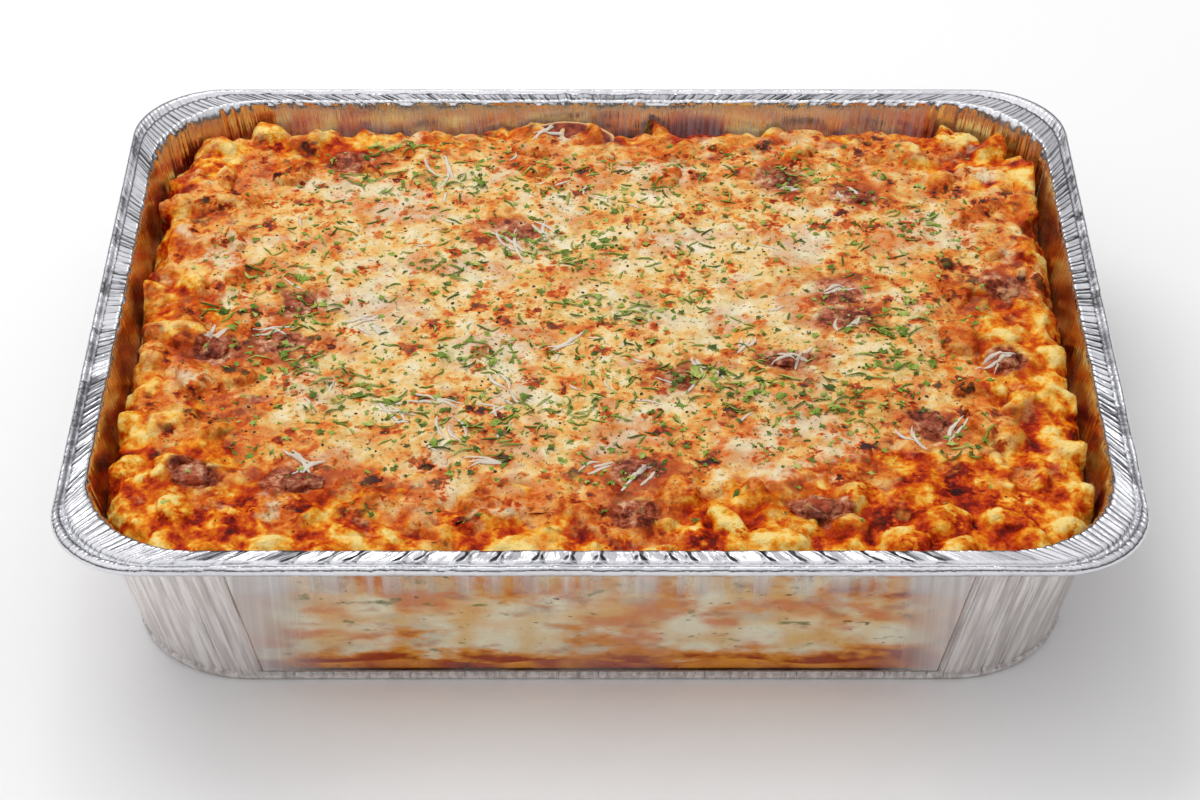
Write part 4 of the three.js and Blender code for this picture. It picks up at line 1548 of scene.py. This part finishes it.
def sauce_layer():
    """The sauce from wall to wall."""
    top, inset = sauce_line(food_walk), -clearance(food_walk)
    rings = [
        food_walk.wall(top + 0.1, inset - 1.5),
        food_walk.wall(top + 0.1, inset - 0.2),
        food_walk.wall(top, inset + 0.05),
        food_walk.wall(top - 0.4, inset + 0.05),
        food_walk.wall(5, inset),
        food_walk.wall(3, np.minimum(inset, -1.2)),
        food_walk.wall(WALL + GAP, -3.8),
    ]
    faces = ring_faces(len(rings), len(food_walk.angle))
    sauce = sauce_material()
    return add_piece("tomato_sauce", np.concatenate(rings), faces, sauce, ["sauce_layer"])


sauce_layer()

# %% [markdown]
# ## The melted cheese
# The blanket is a height over the plan: slow swells, soft bumps, blisters and fine roughness. A
# sheet that is draped by a cloth solver would hang over the lumps, but melted cheese sinks between
# them. So its rim wanders and dives into the filling, and lumps and sauce show through near it.

# %% Shape of the cheese
CHEESE_STEP = 0.85
PINCHES = [
    (-62, 81, 24, 5), (-107, 24, 10, 6), (-94, 4, 11, 5), (-121, 4, 8, 6), (-99, -24, 11, 5),
    (-83, -35, 14, 5), (-68, -47, 20, 6), (-14, 40, 16, 7), (-50, 30, 10, 5), (-40, -19, 12, 5),
    (-15, -45, 14, 4), (-38, -62, 14, 6), (26, -29, 7, 6), (42, -36, 16, 8), (64, -42, 18, 8),
    (83, -46, 10, 6), (94, -25, 10, 5), (99, 1, 9, 7), (88, -5, 9, 4), (68, 82, 7, 5),
    (105, 57, 9, 6), (10, 7, 18, 6), (-70, 102, 14, 4), (113, -66, 8, 4),
]
PINCH_HAZE = 1.7
SOFT_BUMPS, FINE_BUMPS = 10, 3.4
BLISTER_PITCH, BLISTER_RADIUS, BLISTER_HEIGHT = 6.5, 2.6, 0.55
EDGE_DIVE = 5


def near_pinch(xy):
    """1 in the middle of a pinch of parsley, falling to 0 round it, with a low haze everywhere."""
    shares = [np.hypot((xy[:, 0] - x) / long, (xy[:, 1] - y) / short) for x, y, long, short in PINCHES]
    return 0.3 + 0.7 * (1 - smoothstep(np.min(shares, axis=0), 0.3, PINCH_HAZE))


def wave(x, y, length, phase):
    """A slow wave over the plan, between -1 and 1."""
    k = 2 * math.pi / length
    first = 0.5 * np.sin(k * x + 1.3 * np.sin(0.7 * k * y) + phase)
    return first + 0.5 * np.sin(k * 0.8 * y + 1.1 * np.sin(0.9 * k * x) + 2 * phase)


def cheese_top(x, y):
    """The blanket's upper face, as in the solid."""
    thinning = smoothstep(cheese_share(x, y), 0.86, 1.02)
    return CHEESE_TOP + 0.35 * wave(x, y, 61, 0.6) + 0.3 * wave(x, y, 27, 2.1) - thinning


def cheese_surface(xy):
    """Height of the finished cheese, with its bumps, blisters and the lumps below it."""
    x, y = xy.T
    flat = np.column_stack([xy, np.zeros(len(xy))])
    edge = cheese_edge(xy)
    bumps = (1.0 + 1.4 * edge) * (rough_noise(flat, SOFT_BUMPS, 3, 4) - 0.5)
    bumps = bumps + (rough_noise(flat, FINE_BUMPS, 2, 8) - 0.5)
    nearest, own = nearest_spot(xy, BLISTER_PITCH, 3)
    blisters = BLISTER_HEIGHT * (own > 0.35) * np.clip(1 - (nearest / BLISTER_RADIUS) ** 2, 0, 1)
    dive = EDGE_DIVE * smoothstep(edge, 0.95, 1.35) + 0.5 * meat_bed(xy)
    return eased(cheese_top(x, y) + bumps + blisters) - dive


def cheese_grid():
    """A grid over the blanket, and which of its squares belong to it: none that has dived deep into
    the filling, and none near the wall."""
    reach = 1.22 * np.array(CHEESE_HALF)
    x, y = (np.arange(-far, far, CHEESE_STEP) + middle for far, middle in zip(reach, CHEESE_CENTRE))
    grid_x, grid_y = np.meshgrid(x, y)
    xy = np.column_stack([grid_x.ravel(), grid_y.ravel()])
    z = cheese_surface(xy)
    inside = (z > FILLING_TOP - 1.5).reshape(grid_x.shape)
    inside &= (np.abs(grid_x) < OPEN_HALF[0] - 8) & (np.abs(grid_y) < OPEN_HALF[1] - 8)
    keep = inside[:-1, :-1] | inside[1:, :-1] | inside[:-1, 1:] | inside[1:, 1:]
    return xy, z, keep, grid_x.shape


cheese_xy, cheese_z, cheese_keep, cheese_shape = cheese_grid()
print("cheese squares:", int(cheese_keep.sum()))

# %% [markdown]
# ## The cheese's finish
# The cheese takes its colours from the shared groups: melted cheese in the middle, baked crust where
# it has torn open at its edge, fat near the meat, and the meat itself where a piece lies under it.
# The points' own masks say where each of them is, so shape and colour always agree.

# %% Cheese material


def cheese_material():
    """Cream cheese with orange and brown baked spots, breaking up into crust at its edge."""
    material, w, shader = new_material("cheese")
    edge = w.mask("edge")
    melted = use_group(w, melted_cheese, Edge=edge, Grease=w.mask("grease"), Herbs=w.mask("herbs"))
    # The crust's Lift paints shade into the cheese's hollows and light onto its crests.
    crust = use_group(w, baked_crust, Lift=w.mask("lift"), Pale=0.55, Heat=0.4)["Color"]
    baked = w.mix(torn_share(w, edge), melted["Color"], crust)
    baked = stained(w, baked, 0.8, colour(176, 72, 26))
    baked = w.mix(w.mask("bed"), baked, use_group(w, browned_meat, Fat=0.5)["Color"])
    height = w.total(0.0, (w.noise(380, 4, 0.6), 1.0), (melted["Spots"], 0.4))
    bumps = [(height, 0.55, 0.0012), (w.noise(1400, 2), 0.25, 0.0003)]
    finish_surface(w, shader, baked, (180, 3, 0.22, 0.46), bumps, 0.22)
    return material


cheese_heights = cheese_z.reshape(cheese_shape)
# Relief of the cheese, used for the crust's painted shade and painted light.
cheese_lift = (cheese_heights - blurred(cheese_heights, 7, 7)) / 2.4 + 0.5
cheese_squares = np.array(grid_faces(*cheese_shape, closed=False, keep=cheese_keep))
used, renumbered = np.unique(cheese_squares, return_inverse=True)
cheese_masks = {
    "grease": near_meat(cheese_xy[used]),
    "bed": meat_bed(cheese_xy[used]),
    "herbs": near_pinch(cheese_xy[used]),
    "edge": cheese_edge(cheese_xy[used]),
    "lift": cheese_lift.ravel()[used],
}
cheese = add_piece(
    "cheese_blanket", np.column_stack([cheese_xy, cheese_z])[used], renumbered.reshape(-1, 4).tolist(),
    cheese_material(), ["melted_cheese"], cheese_masks,
)

# %% [markdown]
# ## The browned meat
# Each piece is a small torn lump. Sculpting nineteen of them would be slow and they would look alike.
# So a ball is pushed in and out by noise, each from another place in the noise, and scaled to the box
# of its solid, so that it stays where the solid is.

# %% Meat


def meat_material():
    """Browned, rough and a little greasy, with cheese melted over parts of it."""
    material, w, shader = new_material("meat")
    brown = use_group(w, browned_meat, Fat=0.3)["Color"]
    brown = w.mix(w.step(w.noise(150, 4, 0.6), 0.54, 0.64, 0.0, 0.8), brown, RED_ORANGE)
    cheesy = w.step(w.noise(95, 4, 0.62, None, 0.8), 0.54, 0.64, 0.0, 0.7)
    brown = w.mix(cheesy, brown, colour(222, 166, 112))
    finish_surface(w, shader, brown, (300, 2, 0.25, 0.5), [(w.noise(600, 4, 0.7), 0.8, 0.0014)], 0.4)
    return material


def ball(detail):
    """Points and faces of a round ball."""
    shape = bmesh.new()
    bmesh.ops.create_icosphere(shape, subdivisions=detail, radius=1)
    points = np.array([v.co[:] for v in shape.verts])
    faces = [tuple(v.index for v in face.verts) for face in shape.faces]
    shape.free()
    return points, faces


meat_finish = meat_material()
ball_points, ball_faces = ball(5)
for number, name in enumerate(meat_names):
    low, high = meat_boxes[name]
    shift = np.array([7.0 * number, 3.0 * number, 1.0])
    rough = 1.5 * (rough_noise(ball_points * 4 + shift, 2.8, 4, 1) - 0.5)
    points = ball_points * (1 + rough)[:, None]
    points = points / np.abs(points).max(axis=0)
    points = (low + high) / 2 + points * (high - low) / 2
    add_piece(f"browned_{name}", points, ball_faces, meat_finish, [name])

# %% [markdown]
# ## The curled slice at the back
# One thin red slice lies across the lumps at the back, its far edge curled up and dried pale. A ball
# does for it too: flattened, hollowed in the middle and lifted at its rim. The pale edge is a mask
# by how near each point is to that rim.

# %% Curled slice
SLICE = [
    (0.0, colour(60, 14, 6)), (0.35, colour(112, 30, 12)),
    (0.6, colour(150, 56, 26)), (1.0, colour(196, 104, 54)),
]
SLICE_PLACE = (-9, 111, 52.3)
SLICE_SIZE = (29, 13.5, 4)


def slice_material():
    """Dark red meat with a dried pale edge."""
    material, w, shader = new_material("slice")
    red = w.ramp(w.total(-1.3, (w.noise(120, 4), 1.6), (w.noise(400, 4), 2.0)), SLICE)
    tint = w.mix(w.mask("rind"), red, colour(232, 184, 128))
    finish_surface(w, shader, tint, (220, 2, 0.3, 0.5), [(w.noise(500, 3), 0.5, 0.001)], 0.3)
    return material


def curled_slice():
    """A thin slice, turned and rolled as its solid is, hollow in the middle and curled at its rim."""
    points, faces = ball(5)
    out = np.hypot(points[:, 0], points[:, 1])
    rind = smoothstep(out, 0.86, 0.98) * smoothstep(points[:, 1], -0.1, 0.4)
    points[:, 2] = 0.45 * points[:, 2] + 0.9 * out ** 2 - 0.5
    rough = 0.14 * (rough_noise(points * 5, 2, 3, 3) - 0.5)
    points = points * (1 + rough)[:, None]
    matrix = np.array(lump_matrix(SLICE_PLACE, SLICE_SIZE, -0.25, 0.0, 0.3))
    points = points @ matrix[:3, :3].T + matrix[:3, 3]
    masks = {"rind": rind}
    return add_piece("curled_red_slice", points, faces, slice_material(), ["curled_slice"], masks)


curled = curled_slice()

# %% [markdown]
# ## The ground for toppings
# Parsley, cheese shreds and pepper have to lie on the finished food, over every rise and dip. A
# physics run could drop them, but it would be slow and could change from run to run. A ray cast
# straight down at each place finds the food's height and slope at once.

# %% Ground for toppings
from mathutils.bvhtree import BVHTree

TOPPING_LIMIT = FOOD_LIMIT + 0.6


def ground_of(*objects):
    """A tree that finds the height of the finished food from above. Large end faces are left out."""
    points, faces = [], []
    for piece in objects:
        first = len(points)
        points += [v.co / MM for v in piece.data.vertices]
        corners = (face.vertices for face in piece.data.polygons if len(face.vertices) < 9)
        faces += [tuple(first + i for i in face) for face in corners]
    return BVHTree.FromPolygons(points, faces)


meat_pieces = [bpy.data.objects[f"browned_{name}"] for name in meat_names]
ground = ground_of(filling, cheese, curled, *meat_pieces)


def rest_on(x, y):
    """The food's point and slope at a place in the plan."""
    spot, normal, _, _ = ground.ray_cast(Vector((x, y, 80)), Vector((0, 0, -1)))
    if spot is None:
        return Vector((x, y, FILLING_TOP)), Vector((0, 0, 1))
    return spot, normal if normal.z > 0 else -normal


print("ground is ready")

# %% [markdown]
# ## Leaves, stalks and shreds
# Chopped parsley is leaf and some curly stalk; grated cheese is like a stalk, but flatter. A leaf is
# a fan over a lobed edge, and a stalk a bent strip. Each is drawn by chance, so that no two are the
# same, and they are real meshes, because at this size their shadows show.

# %% Leaves and stalks


def leaf_points(chance, size):
    """A chopped leaf: a fan over a lobed edge, its lobes curled up and down."""
    corners = 6 + 2 * int(chance(0, 2.99))
    narrow = chance(0.4, 0.9)
    points = [(0.0, 0.0, 0.1 * size)]
    for corner in range(corners):
        angle = 2 * math.pi * (corner + chance(-0.3, 0.3)) / corners
        reach = size / 2 * (chance(0.35, 0.75) if corner % 2 else chance(0.85, 1.25))
        x, y = reach * math.cos(angle), narrow * reach * math.sin(angle)
        points.append((x, y, chance(-0.08, 0.22) * size))
    return points, [(0, 1 + i, 1 + (i + 1) % corners) for i in range(corners)]


def stalk_points(chance, length, width, lift, curl=0.7, flat=0.55):
    """A thin flattish strip that bends as it lies. flat is its thickness as a share of its width."""
    steps, around = 9, 6
    bend = chance(-curl, curl)
    turn = chance(-0.5, 0.5)
    points = []
    for step in range(steps + 1):
        share = step / steps
        angle = turn + bend * (share - 0.5)
        x = length * (share - 0.5) * math.cos(0.3 * bend)
        y = length * 0.3 * bend * (0.25 - (share - 0.5) ** 2) * 2
        half = width / 2 * (1 - 0.6 * abs(2 * share - 1) ** 3)
        z = lift * math.sin(math.pi * share)
        for side in range(around):
            round_angle = 2 * math.pi * side / around
            out, up = half * math.cos(round_angle), flat * half * math.sin(round_angle)
            points.append((x - out * math.sin(angle), y + out * math.cos(angle), z + up))
    faces = []
    for step in range(steps):
        for side in range(around):
            a = around * step + side
            b = around * step + (side + 1) % around
            faces.append((a, b, b + around, a + around))
    return points, faces


print("faces of a leaf:", len(leaf_points(make_chance(1), 3)[1]))
print("faces of a stalk:", len(stalk_points(make_chance(1), 6, 1, 0.2)[1]))

# %% [markdown]
# ## Strewing
# Thousands of separate objects would be slow and hard to handle. So one kind of topping is one mesh,
# and this class gathers it: small shapes are laid on the slope, long ones are draped point by point.
# Each shape keeps one tone of its own for the material.

# %% Strewing


class Strewn:
    """Gathers many small pieces of one kind into one mesh."""

    def __init__(self, seed):
        self.chance = make_chance(seed)
        self.points, self.faces, self.tones = [], [], []

    def add(self, placed, faces):
        """Keeps one placed shape, with one tone for all of it."""
        first = len(self.points)
        tone = self.chance()
        self.points += [(x, y, min(z, TOPPING_LIMIT)) for x, y, z in placed]
        self.tones += [tone] * len(placed)
        self.faces += [tuple(first + i for i in face) for face in faces]

    def drape(self, shape, x, y, turn, height):
        """Lays a long shape on the food so that it follows every rise and dip."""
        cos, sin = math.cos(turn), math.sin(turn)
        placed = []
        for along, across, up in shape[0]:
            px, py = x + cos * along - sin * across, y + sin * along + cos * across
            placed.append((px, py, rest_on(px, py)[0].z + up + height))
        self.add(placed, shape[1])

    def lay(self, shape, x, y, turn, height):
        """Lays a small shape on the food, turned and following the slope."""
        spot, normal = rest_on(x, y)
        lean = Vector((0, 0, 1)).rotation_difference(normal.lerp(Vector((0, 0, 1)), 0.3))
        turned = lean.to_matrix() @ Matrix.Rotation(turn, 3, "Z")
        placed = [turned @ Vector(point) + spot for point in shape[0]]
        self.add([(point.x, point.y, point.z + height) for point in placed], shape[1])

    def piece(self, name, material, slot):
        """The finished mesh."""
        masks = {"tone": self.tones}
        return add_piece(name, np.array(self.points), self.faces, material, (), masks)


def on_cheese(chance, reach=0.92):
    """A random place on the blanket."""
    angle = chance(0, 2 * math.pi)
    distance = float(cheese_reach(angle)) * math.sqrt(chance()) * reach
    return CHEESE_CENTRE[0] + distance * math.cos(angle), CHEESE_CENTRE[1] + distance * math.sin(angle)


def anywhere(chance):
    """A random place on the food."""
    return chance(-0.93, 0.93) * (OPEN_HALF[0] - 8), chance(-0.92, 0.92) * (OPEN_HALF[1] - 8)


print("toppings stay below", TOPPING_LIMIT, "mm")

# %% [markdown]
# ## Chopped parsley
# Most of the parsley fell on the cheese, a little of it on the crust, and there are some thick
# pinches of it. The largest leaves lie where the solid has them. Strewn evenly it would look
# printed, so the sizes are drawn with many small leaves and few large ones.

# %% Parsley
PARSLEY = [
    (0.0, colour(58, 72, 16)), (0.3, colour(96, 122, 32)),
    (0.65, colour(138, 162, 56)), (1.0, colour(186, 196, 104)),
]
LEAVES_ON_CHEESE = 2100
LEAVES_ANYWHERE = 300
LOOSE_STALKS = 420


def parsley_material():
    """Dark and bright olive green, by the leaf."""
    material, w, shader = new_material("parsley")
    green = w.ramp(w.total(-0.4, (w.mask("tone"), 0.9), (w.noise(500, 2), 0.9)), PARSLEY)
    finish_surface(w, shader, green, (400, 2, 0.35, 0.6), [(w.noise(1200, 2), 0.4, 0.0003)], 0.25)
    return material


def add_pinch(strewn, x0, y0, long, short):
    """A thick pinch of leaves with longer stalks across it."""
    chance = strewn.chance
    for _ in range(round(0.1 * long * short) + 8):
        angle, reach = chance(0, 6.28), math.sqrt(chance())
        x, y = x0 + 1.2 * long * reach * math.cos(angle), y0 + 1.5 * short * reach * math.sin(angle)
        leaf = leaf_points(chance, 1.6 + 3.6 * chance() ** 1.5)
        strewn.lay(leaf, x, y, chance(0, 6.28), chance(0.1, 0.5))
    for _ in range(round(0.55 * long)):
        x, y = x0 + chance(-1, 1) * long, y0 + chance(-1.5, 1.5) * short
        strewn.drape(stalk_points(chance, chance(4, 9), 0.75, 0.3, 1.8), x, y, chance(-0.6, 0.9), 0.25)


def strew_parsley():
    """Leaves and curly stalks all over, and loose pinches of both."""
    strewn = Strewn(71)
    chance = strewn.chance
    for _ in range(LEAVES_ON_CHEESE):
        x, y = on_cheese(chance, 1.05)
        strewn.lay(leaf_points(chance, 0.8 + 2.8 * chance() ** 2), x, y, chance(0, 6.28), 0.1)
    for _ in range(LEAVES_ANYWHERE):
        x, y = anywhere(chance)
        strewn.lay(leaf_points(chance, 0.9 + 3.0 * chance() ** 2), x, y, chance(0, 6.28), 0.1)
    for _ in range(LOOSE_STALKS):
        x, y = on_cheese(chance, 0.92)
        strewn.drape(stalk_points(chance, chance(2, 6.5), 0.7, 0.2, 1.6), x, y, chance(0, 6.28), 0.15)
    for pinch in PINCHES:
        add_pinch(strewn, *pinch)
    return strewn.piece("parsley", parsley_material(), "cheese")


strew_parsley()

# %% [markdown]
# ## Grated cheese
# A few pale shreds of grated cheese were strewn over the baked meal. They have begun to melt, so
# they lie close and let a little of what is below show through. Real refraction would be slow for
# something so thin; a partly clear surface does the same.

# %% Shreds
SHREDS = [
    (-55, 88, 24), (-20, 112, 12), (-65, -50, 14), (63, 77, 7), (79, -2, 9), (109, -57, 15),
    (-35, -74, 13), (-88, -75, 14), (-12, -12, 14), (-91, -72, 10), (-52, -44, 16), (96, -60, 12),
    (78, 17, 8), (125, -22, 16), (-125, -6, 11), (-104, -5, 12), (-28, 44, 18), (-20, 50, 14),
    (-74, -6, 9), (-31, -32, 10), (46, -13, 8), (60, -20, 11), (-2, -76, 10), (12, -80, 12),
    (-46, -58, 12), (-78, 0, 12), (30, -26, 9), (84, 74, 8),
]
SHREDS_IN_A_BUNCH = 3
SHORT_SHREDS = 40


def shred_material():
    """Pale, slightly clear cheese."""
    material, w, shader = new_material("shred")
    pale = w.mix(w.noise(200, 2), colour(255, 250, 236), colour(240, 226, 200))
    shader.inputs["Alpha"].default_value = 0.65
    finish_surface(w, shader, pale, (300, 2, 0.3, 0.5), [(w.noise(900, 2), 0.3, 0.0003)])
    return material


def strew_shreds():
    """The long shreds at their places and some short ones between."""
    strewn = Strewn(137)
    chance = strewn.chance
    for x, y, length in SHREDS:
        turn = chance(-1.3, 1.3)
        for _ in range(SHREDS_IN_A_BUNCH):
            shred = stalk_points(chance, length * chance(0.6, 1.1), 1.5, 0.05, 1.0, 0.3)
            strewn.drape(shred, x + chance(-3, 3), y + chance(-2, 2), turn + chance(-0.4, 0.4), 0.08)
    for _ in range(SHORT_SHREDS):
        x, y = on_cheese(chance)
        strewn.drape(stalk_points(chance, chance(4, 10), 1.2, 0.05, 1.4, 0.3), x, y, chance(0, 6.28), 0.08)
    return strewn.piece("grated_cheese", shred_material(), "cheese")


strew_shreds()

# %% [markdown]
# ## Pepper
# Black pepper and dried herbs are broken specks of under a millimetre. Painted on, they would take
# part in every bump of the cheese and lose their glint, so each is a tiny squashed ball.

# %% Pepper
PEPPER_SPECKS = 520


def pepper_material():
    """Black and dark brown specks."""
    material, w, shader = new_material("pepper")
    tint = w.mix(w.mask("tone"), colour(30, 24, 18), colour(74, 52, 26))
    finish_surface(w, shader, tint, (600, 2, 0.4, 0.7))
    return material


def strew_pepper():
    """Tiny specks over all of the food, three in four of them on the cheese."""
    strewn = Strewn(211)
    chance = strewn.chance
    points, faces = ball(1)
    for _ in range(PEPPER_SPECKS):
        x, y = on_cheese(chance, 1.0) if chance() < 0.75 else anywhere(chance)
        size = 0.2 + 0.4 * chance() ** 2
        speck = (points * [size * chance(0.7, 1.5), size, size * 0.6], faces)
        strewn.lay(speck, x, y, chance(0, 6.28), 0.05)
    return strewn.piece("pepper", pepper_material(), "cheese")


strew_pepper()

# %% [markdown]
# The dressed meal may not outgrow its solids by more than a little.
